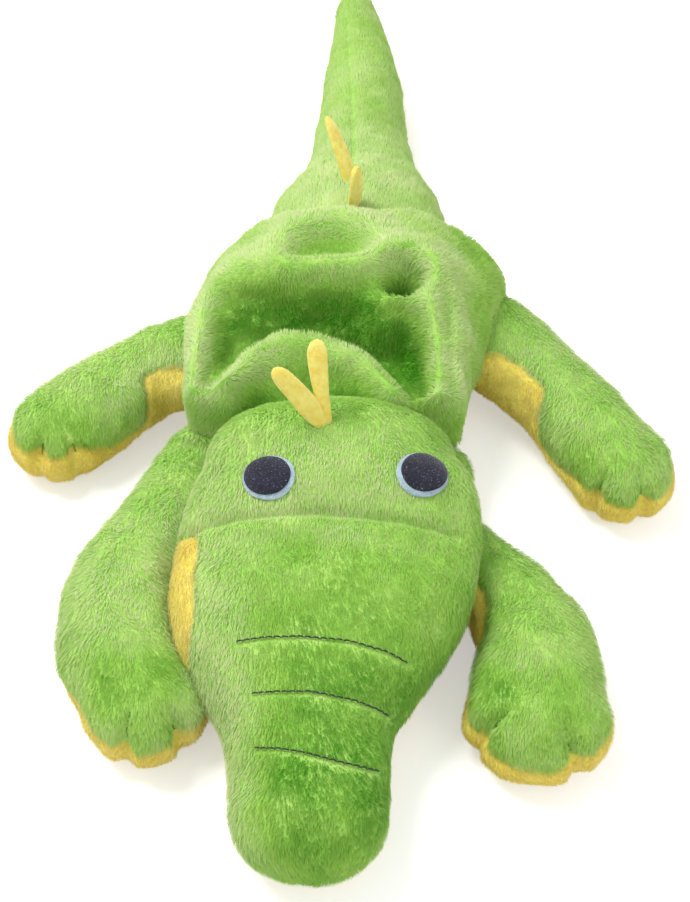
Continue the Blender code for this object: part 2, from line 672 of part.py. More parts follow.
def felt_spike(name, tree, spike, root_place, material):
    """Flat felt blade with a rounded tip, standing on the fabric."""
    ahead = Vector(spike["lean"]).normalized()
    facing = Vector(spike["facing"])
    wide = ahead.cross(facing).normalized()
    thick = wide.cross(ahead).normalized()
    root = over(tree, *root_place, SEAT_GAP + SPIKE_SINK)
    length = spike["length"] - SPIKE_HALF_WIDTH
    outline = [(-SPIKE_HALF_WIDTH * SPIKE_ROOT_SHARE, 0.0)]
    for i in range(SPIKE_TIP_STEPS + 1):
        turn = math.pi - math.pi * i / SPIKE_TIP_STEPS
        outline.append((SPIKE_HALF_WIDTH * math.cos(turn), length + SPIKE_HALF_WIDTH * math.sin(turn)))
    outline.append((SPIKE_HALF_WIDTH * SPIKE_ROOT_SHARE, 0.0))
    points = []
    for layer in (-1.0, 1.0):
        for across, up in outline:
            points.append(root + wide * across + ahead * up + thick * (layer * SPIKE_THICKNESS / 2.0))
    count = len(outline)
    faces = [tuple(range(count)), tuple(range(2 * count - 1, count - 1, -1))]
    for i in range(count):
        j = (i + 1) % count
        faces.append((j, i, count + i, count + j))
    lowest = min(over_gap(tree, point) for point in points)
    if lowest < SEAT_GAP:
        points = [point + Vector((0.0, 0.0, SEAT_GAP - lowest)) for point in points]
    return solid(name, points, faces, material)


def over_gap(tree, point):
    """Height of a point above the surface straight below it."""
    return point.z - over(tree, point.x, point.y, 0.0).z


def thread(name, path, material):
    """Round thread along a path, with closed ends."""
    curve = bpy.data.curves.new(name, "CURVE")
    curve.dimensions = "3D"
    curve.bevel_depth = THREAD_RADIUS
    curve.bevel_resolution = 1
    curve.use_fill_caps = True
    spline = curve.splines.new("POLY")
    spline.points.add(len(path) - 1)
    for knot, point in zip(spline.points, path):
        knot.co = (*point, 1.0)
    curve.materials.append(material)
    obj = bpy.data.objects.new(name, curve)
    bpy.context.scene.collection.objects.link(obj)
    return obj


def toe_path(leg, angle):
    """Path of the thread that draws in a groove between two toes."""
    sections, _, _ = leg_sections(leg, 0.0, LEG_RINGS)
    heart = sections[-CAP_RINGS - 1].centre
    path = []
    for section in sections[-CAP_RINGS - 2:]:
        point = section.point(angle, 0.0)
        path.append(point + (point - heart).normalized() * (TOE_THREAD_LIFT + THREAD_RADIUS))
    return path


def head_place(share, across):
    """Place in plan at a share of the head's length and of its half width there."""
    middle = HEAD_CENTRE.x - HEAD_DRIFT * along(HEAD_DRIFT_SHARES, share)
    wide = HEAD_HALF_WIDTH * along(HEAD_WIDTH_SHARES, share)
    return Vector((middle + wide * across, HEAD_CENTRE.y - HEAD_LENGTH * share))


def snout_row(name, tree, row, material):
    """One stitched row that bows across the top of the snout."""
    left, right = head_place(*row["left_shares"]), head_place(*row["right_shares"])
    path = []
    for t in spread(0.0, 1.0, THREAD_POINTS):
        place = left.lerp(right, t)
        bow = SNOUT_BOW * row["bow_share"] * math.sin(math.pi * t)
        path.append(over(tree, place.x, place.y + bow, THREAD_LIFT + THREAD_RADIUS))
    return thread(name, path, material)


def build():
    """Make every sub-part."""
    clear_scene()
    green = make_material("green_plush", (0.30, 0.62, 0.10), 0.95, 0.5)
    yellow = make_material("yellow_plush", (0.72, 0.58, 0.10), 0.95, 0.5)
    fibre = make_material("white_fibre", (0.85, 0.85, 0.82), 1.0)
    felt_yellow = make_material("yellow_felt", (0.85, 0.70, 0.16), 0.95)
    felt_black = make_material("black_felt", (0.02, 0.02, 0.03), 0.9)
    felt_blue = make_material("pale_blue_felt", (0.45, 0.62, 0.70), 0.9)
    dark_thread = make_material("dark_thread", (0.02, 0.05, 0.02), 0.7)
    skins = (green, yellow)
    core_inset = SKIN + SEAT_GAP

    head_outer = head_form(0.0, SIDES, HEAD_RINGS, 0.0)
    head_tools = []
    for i, wall in enumerate((0.0, SKIN, core_inset)):
        form = head_form(-HEAD_CLEARANCE - wall, SIDES, HEAD_RINGS, -CUT_SIZE)
        head_tools.append(cutter("head_clearance_%d" % i, *form))
    gap = Vector((SOCKET_GAP, SOCKET_GAP, SOCKET_GAP))
    tail_gap = Vector((TAIL_SOCKET_GAP, TAIL_SOCKET_GAP, TAIL_SOCKET_RISE))
    roots = {
        "head": (HEAD_CENTRE, gap + Vector((HEAD_ROOT_HALF_WIDTH, HEAD_ROOT_RADIUS, HEAD_ROOT_RADIUS))),
        "tail": (TAIL_CENTRE, tail_gap + Vector((TAIL_ROOT_RADIUS, TAIL_ROOT_RADIUS, TAIL_ROOT_HALF_HEIGHT))),
    }
    for name, leg in LEGS.items():
        centre = Vector((leg["root_x"], leg["root_y"], leg["root_z"]))
        roots[name] = (centre, gap + Vector((leg["root_radius"], leg["root_radius"], leg["root_half_height"])))
    sockets = []
    core_sockets = []
    for name, (centre, radii) in roots.items():
        sides, rings = (LEG_SOCKET_SIDES, LEG_SOCKET_RINGS) if name in LEGS else (SOCKET_SIDES, SOCKET_RINGS)
        sockets.append(ellipsoid(name + "_socket", centre, radii, sides, rings))
        core_sockets.append(ellipsoid(name + "_core_socket", centre, radii * CORE_SOCKET_SHARE,
                                      CORE_SOCKET_SIDES, CORE_SOCKET_RINGS))

    sewn_pair("torso", torso_form(0.0, SIDES, 0.0), torso_form(SKIN, SIDES, SKIN), skins,
              seam_cutters("torso_seam", TORSO_SEAM_Z), ("torso_back_panel", "torso_belly_panel"),
              sockets=sockets)
    torso_core = solid("torso_stuffing", *torso_stuffing_form(core_inset), fibre)
    for socket in core_sockets:
        cut(torso_core, socket)

    head_seam = seam_cutters("head_seam", HEAD_SEAM_REAR_Z, HEAD_SEAM_FRONT_Z,
                             HEAD_CENTRE.y, HEAD_CENTRE.y - HEAD_LENGTH)
    head_hollow = cutter("head_hollow", *head_form(SKIN, INNER_SIDES, HEAD_RINGS // 2, SKIN))
    forehead = skin_panel("head_forehead_panel", head_outer, head_hollow, head_seam[0], green)
    snout = skin_panel("head_snout_panel", head_outer, head_hollow, head_seam[0], green)
    skin_panel("head_jaw_panel", head_outer, head_hollow, head_seam[1], yellow)
    big = Vector((CUT_SIZE, CUT_SIZE, CUT_SIZE))
    half = SEAT_GAP / 2.0
    brow_y = HEAD_CENTRE.y - FOREHEAD_LENGTH
    cut(forehead, block("snout_side", -big, Vector((CUT_SIZE, brow_y + half, CUT_SIZE))))
    cut(snout, block("crown_side", Vector((-CUT_SIZE, brow_y - half, -CUT_SIZE)), big))
    solid("head_stuffing", *head_form(core_inset, INNER_SIDES, HEAD_RINGS // 2, core_inset), fibre)

    tail_outer = tail_form(0.0, SIDES, TAIL_RINGS, 0.0)
    sewn_pair("tail", tail_outer, tail_form(SKIN, INNER_SIDES, TAIL_RINGS // 2 + 1, SKIN), skins,
              seam_cutters("tail_seam", TAIL_SEAM_Z), ("tail_top_panel", "tail_under_panel"))
    solid("tail_stuffing", *tail_form(core_inset, INNER_SIDES, TAIL_RINGS // 2 + 1, core_inset), fibre)

    for name, leg in LEGS.items():
        dents = head_tools if name.startswith("front") else ()
        sewn_pair(name + "_leg", leg_form(leg, 0.0, SIDES, LEG_RINGS, 0.0),
                  leg_form(leg, SKIN, INNER_SIDES, LEG_RINGS // 2 + 1, SKIN), skins,
                  seam_cutters(name + "_seam", LEG_SEAM_Z),
                  (name + "_leg_top_panel", name + "_leg_sole_panel"), dents)
        core = solid(name + "_leg_stuffing",
                     *leg_form(leg, core_inset, INNER_SIDES, LEG_RINGS // 2 + 1, core_inset), fibre)
        if dents:
            cut(core, dents[2])
        for i, angle in enumerate((TOE_ANGLE, math.pi - TOE_ANGLE), 1):
            thread("%s_toe_thread_%d" % (name, i), toe_path(leg, angle), dark_thread)

    head_tree = surface_of(head_outer)
    for label, sign in (("left", -1.0), ("right", 1.0)):
        place = (HEAD_CENTRE.x + EYE_OFFSET + sign * EYE_SPREAD, HEAD_CENTRE.y - EYE_AHEAD)
        radii = [EYE_RADIUS * share for share in EYE_RING_SHARES]
        felt_disc(label + "_eye_ring", head_tree, place, (*radii, EYE_RING_RADIUS), FELT_LIFT, felt_blue)
        felt_disc(label + "_eye_disc", head_tree, place, radii, FELT_LIFT + FELT + SEAT_GAP, felt_black)
    for i, row in enumerate(SNOUT_ROWS, 1):
        snout_row("snout_stitch_row_%d" % i, head_tree, row, dark_thread)
    tail_tree = surface_of(tail_outer)
    for name, spike in NECK_SPIKES.items():
        across, ahead = spike["root_shares"]
        place = (HEAD_CENTRE.x + HEAD_HALF_WIDTH * across, HEAD_CENTRE.y - HEAD_LENGTH * ahead)
        felt_spike(name, head_tree, spike, place, felt_yellow)
    for name, spike in TAIL_SPIKES.items():
        across, back = spike["root_shares"]
        place = (TAIL_CENTRE.x + TAIL_ROOT_RADIUS * across, TAIL_CENTRE.y + TAIL_LENGTH * back)
        felt_spike(name, tail_tree, spike, place, felt_yellow)


build()
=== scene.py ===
"""Looks of the plush crocodile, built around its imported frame.

Each stuffed form is lofted again with many more sections than the solids have, its slack
folds, dents and seams are sculpted, and a pile of short combed strands grows on it. Named
sizes and tables are in millimetres, points in metres unless they are called mm.
"""

import math

import bmesh
import bpy
import numpy as np
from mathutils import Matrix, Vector, noise
from mathutils.bvhtree import BVHTree


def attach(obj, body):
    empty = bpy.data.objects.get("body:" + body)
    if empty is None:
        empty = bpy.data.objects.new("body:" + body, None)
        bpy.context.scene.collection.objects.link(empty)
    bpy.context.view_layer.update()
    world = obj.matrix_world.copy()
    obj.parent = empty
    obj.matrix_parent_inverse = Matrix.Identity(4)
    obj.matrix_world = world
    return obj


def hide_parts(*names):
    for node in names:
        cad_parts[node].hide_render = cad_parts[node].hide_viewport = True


MM = 0.001
FULL_TURN = 2.0 * math.pi

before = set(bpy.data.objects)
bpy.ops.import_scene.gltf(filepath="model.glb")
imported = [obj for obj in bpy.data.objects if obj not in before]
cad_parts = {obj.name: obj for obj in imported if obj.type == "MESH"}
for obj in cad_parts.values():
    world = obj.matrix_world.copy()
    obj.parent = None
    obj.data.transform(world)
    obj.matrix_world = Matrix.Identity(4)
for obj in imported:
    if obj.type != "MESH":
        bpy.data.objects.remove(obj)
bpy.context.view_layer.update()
SEED = 7
rng = np.random.default_rng(SEED)
noise.seed_set(SEED)

# How far the pile stands off the skin, and how the skin fades to the surface that it lies on
PILE_RISE, GROUND_FADE, GROUND_GAP = 1.7, 12.0, 0.2

# Torso
TORSO_FRONT, TORSO_REAR = -56.0, 68.0
TORSO_FRONT_CAP, TORSO_REAR_CAP = 14.0, 12.0
TORSO_HALF_WIDTH, TORSO_WIDEST_Z, TORSO_TOP, TORSO_FLAT = 77.0, 38.0, 80.0, 6.0
TORSO_DRIFT, TORSO_SEAM_Z, TORSO_SQUARENESS = 8.0, 22.0, 2.4
TORSO_WIDTH_SHARES = ((0, 0.8), (0.29, 0.87), (0.51, 0.94), (0.77, 0.96), (1, 0.76))
TORSO_DRIFT_SHARES = ((0, -1), (0.29, -1), (0.51, -0.4), (0.77, 0.6), (1, 1.1))
TORSO_TOP_SHARES = ((0, 0.9), (0.3, 0.98), (0.6, 1.03), (0.85, 1.02), (1, 0.95))

# Lines on the slack back, through which its surface passes: x, y and height
BACK_LINES = (
    ((-62, 24, 70), (-65, -3, 70), (-67, -29, 68), (-68, -46, 63)),
    ((-56, 6, 66), (-58, -12, 62), (-60, -30, 60), (-61, -42, 59)),
    ((-60, 20, 76), (-48, 18, 81), (-35, 17, 84), (-20, 16, 85), (-6, 16, 86), (9, 19, 87), (22, 23, 87),
     (34, 20, 85), (40, 11, 83), (42, 2, 81), (42, -11, 78), (42, -35, 72), (41, -50, 64)),
    ((-50, 8, 70), (-34, 8, 71), (-18, 8, 71), (-4, 7, 70), (10, 6, 69)),
    ((-54, -26, 57), (-46, -11, 56), (-34, -4, 54), (-20, -4, 52), (-4, -5, 50), (8, -9, 48), (18, -17, 47),
     (27, -30, 49), (33, -44, 53)),
    ((26, -6, 60), (33, -20, 59), (37, -36, 60)),
    ((-62, -51, 66), (-56, -45, 71), (-42, -29, 76), (-27, -20, 78), (-15, -22, 78), (4, -33, 78),
     (14, -41, 75), (23, -51, 69)),
    ((-56, -53, 56), (-37, -45, 59), (-15, -41, 60), (2, -46, 59), (12, -52, 57)),
    ((-38, 23, 84), (-26, 37, 86), (-13, 50, 86), (2, 50, 87), (15, 42, 87), (26, 34, 87)),
    ((-21, 26, 78), (-8, 28, 76), (6, 29, 79)),
    ((26, 12, 62), (28, 10, 61)),
    ((17, 6, 76), (22, -1, 79), (33, -1, 81)),
    ((46.5, 2, 73), (46.5, -20, 67), (46, -42, 60)),
    ((51, 4, 77), (52, -18, 71), (51, -42, 61)),
    ((55.5, 10, 70), (56.5, -8, 65), (55.5, -26, 58)),
    ((-30, 60, 76), (0, 60, 78), (30, 60, 76)),
    ((-52, 34, 75), (-44, 48, 73)),
    ((50, 34, 79), (50, 46, 74), (56, 22, 76)),
)
BACK_STEP, BACK_REACH, BACK_SLACK, BACK_FADE = 5.0, 12.0, 0.06, (-6.0, 14.0)

# Head
HEAD_X, HEAD_Y, HEAD_Z = -6.0, -78.0, 43.0
HEAD_ROOT_HALF_WIDTH, HEAD_ROOT_RADIUS, HEAD_LENGTH, HEAD_FLAT = 57.0, 36.0, 181.0, 5.0
HEAD_HALF_WIDTH, HEAD_HEIGHT, HEAD_DRIFT, HEAD_LEAN, SNOUT_CAP = 65.0, 79.0, 9.0, 7.0, 27.0
HEAD_SEAM_REAR_Z, HEAD_SEAM_FRONT_Z, HEAD_SQUARENESS = 30.0, 9.0, 2.15
HEAD_WIDTH_SHARES = (
    (0, 0.88), (0.06, 0.95), (0.18, 1), (0.33, 1), (0.46, 0.89), (0.55, 0.745), (0.66, 0.55), (0.81, 0.5),
    (1, 0.47),
)
HEAD_DRIFT_SHARES = ((0, 0), (0.18, 0.15), (0.33, 0.5), (0.5, 0.85), (0.66, 1), (1, 0.75))
HEAD_LEAN_SHARES = ((0, 0), (0.1, 1), (0.33, 0.9), (0.66, 0.6), (1, 0.4))
HEAD_TOP_SHARES = (
    (0, 1), (0.12, 0.96), (0.21, 0.86), (0.27, 0.81), (0.36, 0.82), (0.46, 0.79), (0.55, 0.76), (0.66, 0.72),
    (0.8, 0.65), (1, 0.57),
)
HEAD_WIDEST_SHARES = ((0, 0.54), (0.18, 0.52), (0.34, 0.48), (0.55, 0.38), (0.68, 0.33), (1, 0.29))
HEAD_BELLY_SHARES = ((0, 1), (0.07, 0), (1, 0))
HEAD_SQUARE_SHARES = ((0, 1.2), (0.15, 1.18), (0.35, 1.02), (0.5, 1), (1, 1))

# Where the jaw's seam climbs at the left cheek
CHEEK_X, CHEEK_REAR, CHEEK_FRONT, CHEEK_RISE = (50.0, 66.0), (104.0, 120.0), (150.0, 186.0), 33.0

# Tail
TAIL_X, TAIL_Y, TAIL_Z = 4.0, 62.0, 39.0
TAIL_ROOT_RADIUS, TAIL_ROOT_HALF_HEIGHT, TAIL_LENGTH, TAIL_FLAT = 47.0, 33.0, 253.0, 4.0
TAIL_TOP, TAIL_DRIFT, TAIL_CAP, TAIL_SEAM_Z = 72.0, 5.5, 17.0, 14.0
TAIL_WIDTH_SHARES = (
    (0, 1), (0.07, 0.99), (0.17, 0.9), (0.235, 0.73), (0.3, 0.63), (0.36, 0.59), (0.46, 0.55), (0.62, 0.49),
    (0.77, 0.39), (0.9, 0.29), (1, 0.24),
)
TAIL_DRIFT_SHARES = ((0, 0), (0.12, 0.35), (0.235, 0.8), (0.43, 0.85), (0.61, 1), (0.8, 0.9), (1, 0.2))
TAIL_TOP_SHARES = (
    (0, 1), (0.07, 1), (0.15, 0.98), (0.25, 0.89), (0.42, 0.74), (0.6, 0.66), (0.8, 0.57), (1, 0.46),
)
TAIL_WIDEST_SHARES = ((0, 0.542), (0.07, 0.542), (0.25, 0.4), (0.42, 0.33), (0.6, 0.29), (1, 0.22))
TAIL_BELLY_SHARES = ((0, 1), (0.1, 1), (0.25, 0), (1, 0))

# Legs
LEG_SEAM_Z, LEG_SQUARENESS, LEG_WIDEST_Z, LEG_FLAT, PAW_HEIGHT = 17.0, 2.1, 16.0, 2.5, 42.0
LEG_STEP_SHARE, LEG_INNER_REACH = 0.1, 13.0
TOE_NOTCH, TOE_GROOVE, TOE_SPREAD, TOE_START, TOE_TOP = 0.15, 3.6, 0.13, (7.0, 25.0), 24.0
TOE_TURN_SHARES, TOE_RISE_SHARES = (-0.35, 0.1), (0.75, 1.0)
TOE_LINE_SHARES, TOE_LINE_LOWEST = (0.52, 0.62, 0.72, 0.8, 0.87, 0.92), 4.0
LEGS = {
    "front_left": {
        "root": (22, 17, 22), "half_width": 27.5, "cap": 28, "inner": 1, "climb": (12, 0.45, 0.85),
        "toe_rise": 4, "toes": (14, -46), "spine": ((-64, -53), (-79, -85), (-93, -118), (-96, -148),
        (-82, -178)), "width_shares": ((0, 0.8), (0.28, 0.86), (0.55, 1), (0.8, 1.03), (1, 1.02)),
        "top_shares": ((0, 0.857), (0.28, 0.95), (0.55, 1.02), (0.8, 1), (1, 0.93)),
    },
    "front_right": {
        "root": (17, 14, 20), "half_width": 31, "cap": 29, "inner": -1, "climb": (14, 0.5, 0.8),
        "toe_rise": 4, "toes": (38, -62), "spine": ((43, -58), (45, -86), (64, -116), (80, -146),
        (79, -185)), "width_shares": ((0, 0.55), (0.28, 0.54), (0.52, 0.69), (0.78, 0.88), (1, 1.03)),
        "top_shares": ((0, 0.8), (0.28, 0.74), (0.55, 0.84), (0.8, 1), (1, 0.93)),
    },
    "rear_left": {
        "root": (26, 22, 27), "half_width": 25, "cap": 26, "inner": 1, "climb": (21, 0.4, 0.56),
        "toe_rise": 7, "toes": (78, 26), "spine": ((-72, 9), (-93, 4), (-114, -12), (-134, -30)),
        "width_shares": ((0, 1.12), (0.35, 0.96), (0.7, 1), (1, 1.02)), "top_shares": ((0, 1.095),
        (0.35, 0.98), (0.7, 0.96), (1, 0.9)),
    },
    "rear_right": {
        "root": (26, 22, 27), "half_width": 27, "cap": 28, "inner": -1, "climb": (21, 0.42, 0.62),
        "toe_rise": 5, "toes": (-8, -66), "spine": ((73.5, 18.4), (91, 4), (109, -21), (127, -53)),
        "width_shares": ((0, 0.98), (0.3, 0.9), (0.6, 0.9), (1, 0.98)), "top_shares": ((0, 1.095),
        (0.35, 0.95), (0.7, 0.96), (1, 0.93)),
    },
}


def along(shares, place):
    """Value of a table of shares at a place, on a smooth curve through its rows."""
    places = [row[0] for row in shares]
    values = [row[1] for row in shares]
    last = len(shares) - 2
    index = max(i for i in range(last + 1) if i == 0 or places[i] <= place)
    slopes = []
    for i in (index, index + 1):
        before, after = max(i - 1, 0), min(i + 1, last + 1)
        slopes.append((values[after] - values[before]) / (places[after] - places[before]))
    span = places[index + 1] - places[index]
    t = min(max((place - places[index]) / span, 0.0), 1.0)
    ease = t * t * (3.0 - 2.0 * t)
    rise = values[index] + (values[index + 1] - values[index]) * ease
    bend = slopes[0] * t * (1.0 - t) ** 2 - slopes[1] * t * t * (1.0 - t)
    return rise + bend * span


def section(centre, side, half_width, up, down, squareness, lean=0.0):
    """One cross section of a stuffed form, in millimetres."""
    return {
        "centre": np.array(centre, float), "side": np.array(side, float), "half_width": half_width,
        "up": up, "down": down, "squareness": squareness, "lean": lean,
    }


def ahead_of(side):
    """Direction of travel that goes with a section's side."""
    return np.array((side[1], -side[0], 0.0))


def section_points(s, turns):
    """Points around one section."""
    power = 2.0 / s["squareness"]
    cos, sin = np.cos(turns), np.sin(turns)
    across = np.sign(cos) * np.abs(cos) ** power
    rise = np.sign(sin) * np.abs(sin) ** power
    points = s["centre"] + np.outer(across * s["half_width"] + s["lean"] * np.maximum(rise, 0.0), s["side"])
    points[:, 2] += np.where(rise > 0.0, s["up"], s["down"]) * rise
    return points


def rounded(middle, length, rings, lead=False):
    """Sections that round a form off ahead of its middle section, or before it, and their pole."""
    ahead = ahead_of(middle["side"]) * (-1.0 if lead else 1.0)
    sections = []
    for i in range(1, rings + 1):
        angle = math.pi / 2.0 * i / (rings + 1)
        scaled = {key: middle[key] * math.cos(angle) for key in ("half_width", "up", "down", "lean")}
        centre = middle["centre"] + ahead * (length * math.sin(angle))
        sections.append(dict(middle, centre=centre, **scaled))
    return sections[::-1] if lead else sections, middle["centre"] + ahead * length


def stuffed(root, root_length, body, cap, sides, cap_rings):
    """Closed form through its body's sections, rounded off at its root and its tip."""
    lead, start = rounded(root, root_length, cap_rings, lead=True)
    tip, end = rounded(body[-1], cap, cap_rings)
    return loft(lead + body + tip, sides, start, end)


def loft(sections, sides, start, end):
    """Closed grid of points through the sections, in metres, as points and faces."""
    turns = FULL_TURN * np.arange(sides) / sides
    rows = [section_points(s, turns) for s in sections]
    points = np.vstack([start[None, :], *rows, end[None, :]])
    points[:, 2] = np.maximum(points[:, 2], 0.0)
    faces = []
    last = len(points) - 1
    for i in range(sides):
        j = (i + 1) % sides
        faces.append((0, 1 + j, 1 + i))
        for ring in range(len(sections) - 1):
            low = 1 + ring * sides
            faces.append((low + i, low + j, low + sides + j, low + sides + i))
        base = 1 + (len(sections) - 1) * sides
        faces.append((base + i, base + j, last))
    points = points * MM
    return points, outward(points, faces)


def torso_loft(sides, rings, cap_rings):
    """Torso, from the neck to the tail."""
    side = np.array((-1.0, 0.0, 0.0))
    body = []
    for y in np.linspace(TORSO_FRONT + TORSO_FRONT_CAP, TORSO_REAR - TORSO_REAR_CAP, rings):
        place = (y - TORSO_FRONT) / (TORSO_REAR - TORSO_FRONT)
        centre = (TORSO_DRIFT * along(TORSO_DRIFT_SHARES, place), y, TORSO_WIDEST_Z)
        body.append(section(
            centre, side, TORSO_HALF_WIDTH * along(TORSO_WIDTH_SHARES, place),
            TORSO_TOP * along(TORSO_TOP_SHARES, place) - TORSO_WIDEST_Z, TORSO_WIDEST_Z + TORSO_FLAT,
            TORSO_SQUARENESS,
        ))
    return stuffed(body[0], TORSO_FRONT_CAP, body, TORSO_REAR_CAP, sides, cap_rings)


def head_loft(sides, rings, cap_rings):
    """Head, from its rounded back to the snout."""
    side = np.array((1.0, 0.0, 0.0))
    centre = np.array((HEAD_X, HEAD_Y, HEAD_Z))
    root = section(centre, side, HEAD_ROOT_HALF_WIDTH, HEAD_ROOT_RADIUS, HEAD_ROOT_RADIUS,
                   HEAD_SQUARENESS * HEAD_SQUARE_SHARES[0][1])
    body = []
    for place in np.linspace(0.0, 1.0, rings):
        y = HEAD_Y - (HEAD_LENGTH - SNOUT_CAP) * place
        share = (HEAD_Y - y) / HEAD_LENGTH
        widest = HEAD_HEIGHT * along(HEAD_WIDEST_SHARES, share)
        low = (HEAD_Z - HEAD_ROOT_RADIUS + HEAD_FLAT) * along(HEAD_BELLY_SHARES, share) - HEAD_FLAT
        square = HEAD_SQUARENESS * along(HEAD_SQUARE_SHARES, share)
        body.append(section(
            (HEAD_X - HEAD_DRIFT * along(HEAD_DRIFT_SHARES, share), y, widest), side,
            HEAD_HALF_WIDTH * along(HEAD_WIDTH_SHARES, share),
            HEAD_HEIGHT * along(HEAD_TOP_SHARES, share) - widest, widest - low, square,
            lean=HEAD_LEAN * along(HEAD_LEAN_SHARES, share),
        ))
    return stuffed(root, HEAD_ROOT_RADIUS, body, SNOUT_CAP, sides, cap_rings)


def tail_loft(sides, rings, cap_rings):
    """Tail, from its rounded root to the tip."""
    side = np.array((-1.0, 0.0, 0.0))
    centre = np.array((TAIL_X, TAIL_Y, TAIL_Z))
    root = section(centre, side, TAIL_ROOT_RADIUS, TAIL_ROOT_HALF_HEIGHT, TAIL_ROOT_HALF_HEIGHT, 2.0)
    body = []
    for place in np.linspace(0.0, 1.0, rings):
        y = TAIL_Y + (TAIL_LENGTH - TAIL_CAP) * place
        share = (y - TAIL_Y) / TAIL_LENGTH
        widest = TAIL_TOP * along(TAIL_WIDEST_SHARES, share)
        low = (TAIL_Z - TAIL_ROOT_HALF_HEIGHT + TAIL_FLAT) * along(TAIL_BELLY_SHARES, share) - TAIL_FLAT
        body.append(section(
            (TAIL_X + TAIL_DRIFT * along(TAIL_DRIFT_SHARES, share), y, widest), side,
            TAIL_ROOT_RADIUS * along(TAIL_WIDTH_SHARES, share),
            TAIL_TOP * along(TAIL_TOP_SHARES, share) - widest, widest - low, 2.0,
        ))
    return stuffed(root, TAIL_ROOT_RADIUS, body, TAIL_CAP, sides, cap_rings)


def spine_tables(spine):
    """Tables of x and y along a leg's spine, by share of its length."""
    lengths = [0.0]
    for a, b in zip(spine, spine[1:]):
        lengths.append(lengths[-1] + math.dist(a, b))
    places = [length / lengths[-1] for length in lengths]
    return [(p, a[0]) for p, a in zip(places, spine)], [(p, a[1]) for p, a in zip(places, spine)]


def leg_loft(leg, sides, rings, cap_rings):
    """Leg along its bent spine, from its rounded root to the paw."""
    xs, ys = spine_tables(leg["spine"])
    radius, half_height, root_z = leg["root"]
    body = []
    for place in np.linspace(0.0, 1.0, rings):
        before, after = max(place - LEG_STEP_SHARE, 0.0), min(place + LEG_STEP_SHARE, 1.0)
        ahead = np.array((along(xs, after) - along(xs, before), along(ys, after) - along(ys, before), 0.0))
        ahead /= np.linalg.norm(ahead)
        side = np.array((-ahead[1], ahead[0], 0.0))
        ease = min(place / leg["top_shares"][1][0], 1.0)
        widest = root_z + (LEG_WIDEST_Z - root_z) * ease
        low = (root_z - half_height + LEG_FLAT) * (1.0 - max(2.0 * place - 1.0, 0.0)) - LEG_FLAT
        top = PAW_HEIGHT * along(leg["top_shares"], place)
        body.append(section(
            (along(xs, place), along(ys, place), widest), side,
            leg["half_width"] * along(leg["width_shares"], place), top - widest, widest - low,
            2.0 + (LEG_SQUARENESS - 2.0) * ease,
        ))
    root = section(body[0]["centre"], body[0]["side"], radius, half_height, half_height, 2.0)
    return stuffed(root, radius, body, leg["cap"], sides, cap_rings)


NOISE_FADE, NOISE_STEP = 0.6, 2.1


def norms(rows):
    """Length of each row."""
    return np.linalg.norm(rows, axis=1)


def fractal(points, scale, octaves=3, offset=0.0):
    """Smooth noise of about -1 to 1 at each point, a point in metres and the scale in millimetres."""
    size = scale * MM
    shift = Vector((offset, offset * 1.7, -offset))
    places = (Vector(p) / size + shift for p in points)
    return np.array([noise.fractal(place, NOISE_FADE, NOISE_STEP, octaves) for place in places])


def vertex_normals(points, faces):
    """Area-weighted normals of the points."""
    total = np.zeros_like(points)
    for size in (3, 4):
        group = np.array([f for f in faces if len(f) == size])
        if not len(group):
            continue
        a, b, c = points[group[:, 0]], points[group[:, 1]], points[group[:, 2]]
        normal = np.cross(b - a, c - a)
        if size == 4:
            d = points[group[:, 3]]
            normal = np.cross(c - a, d - b)
        for k in range(size):
            np.add.at(total, group[:, k], normal)
    return total / np.maximum(norms(total), 1e-12)[:, None]


def outward(points, faces):
    """Faces turned so that their normals point out of the form."""
    volume = 0.0
    for face in faces:
        a = points[face[0]]
        for i, j in zip(face[1:], face[2:]):
            volume += np.dot(a, np.cross(points[i], points[j]))
    return faces if volume > 0.0 else [tuple(reversed(face)) for face in faces]


def paw_frame(leg):
    """End of a leg's spine, with the directions ahead and to the side, in plan."""
    xs, ys = spine_tables(leg["spine"])
    end = np.array((along(xs, 1.0), along(ys, 1.0)))
    before = 1.0 - LEG_STEP_SHARE
    ahead = end - np.array((along(xs, before), along(ys, before)))
    ahead /= np.linalg.norm(ahead)
    return end, ahead, np.array((-ahead[1], ahead[0]))


def shape_toes(points, leg):
    """Parts a paw into toes: notches in its outline that run up over its front as grooves."""
    end, ahead, side = paw_frame(leg)
    mm = points / MM
    rel = mm[:, :2] - end
    turn = np.arctan2(rel @ side, rel @ ahead)
    reach = smooth_step(norms(rel), *TOE_START) * smooth_step(np.cos(turn), *TOE_TURN_SHARES)
    depth = sum(np.exp(-((turn - math.radians(toe)) / TOE_SPREAD) ** 2) for toe in leg["toes"]) * reach
    mm[:, :2] = end + rel * (1.0 - TOE_NOTCH * depth)[:, None]
    mm[:, 2] -= TOE_GROOVE * depth * np.clip(mm[:, 2] / TOE_TOP, 0.0, 1.0)
    return mm * MM


def slack(points, faces, amount, scale, offset):
    """Draws the skin in below the tips of its pile, with the soft lumps of a loose filling."""
    normals = vertex_normals(points, faces)
    wave = fractal(points, scale, 3, offset)
    grounded = np.clip(points[:, 2] / (GROUND_FADE * MM), 0.0, 1.0)
    moved = points + normals * ((wave * amount * grounded - PILE_RISE) * MM)[:, None]
    moved[:, 2] = np.maximum(moved[:, 2], GROUND_GAP * MM)
    return moved


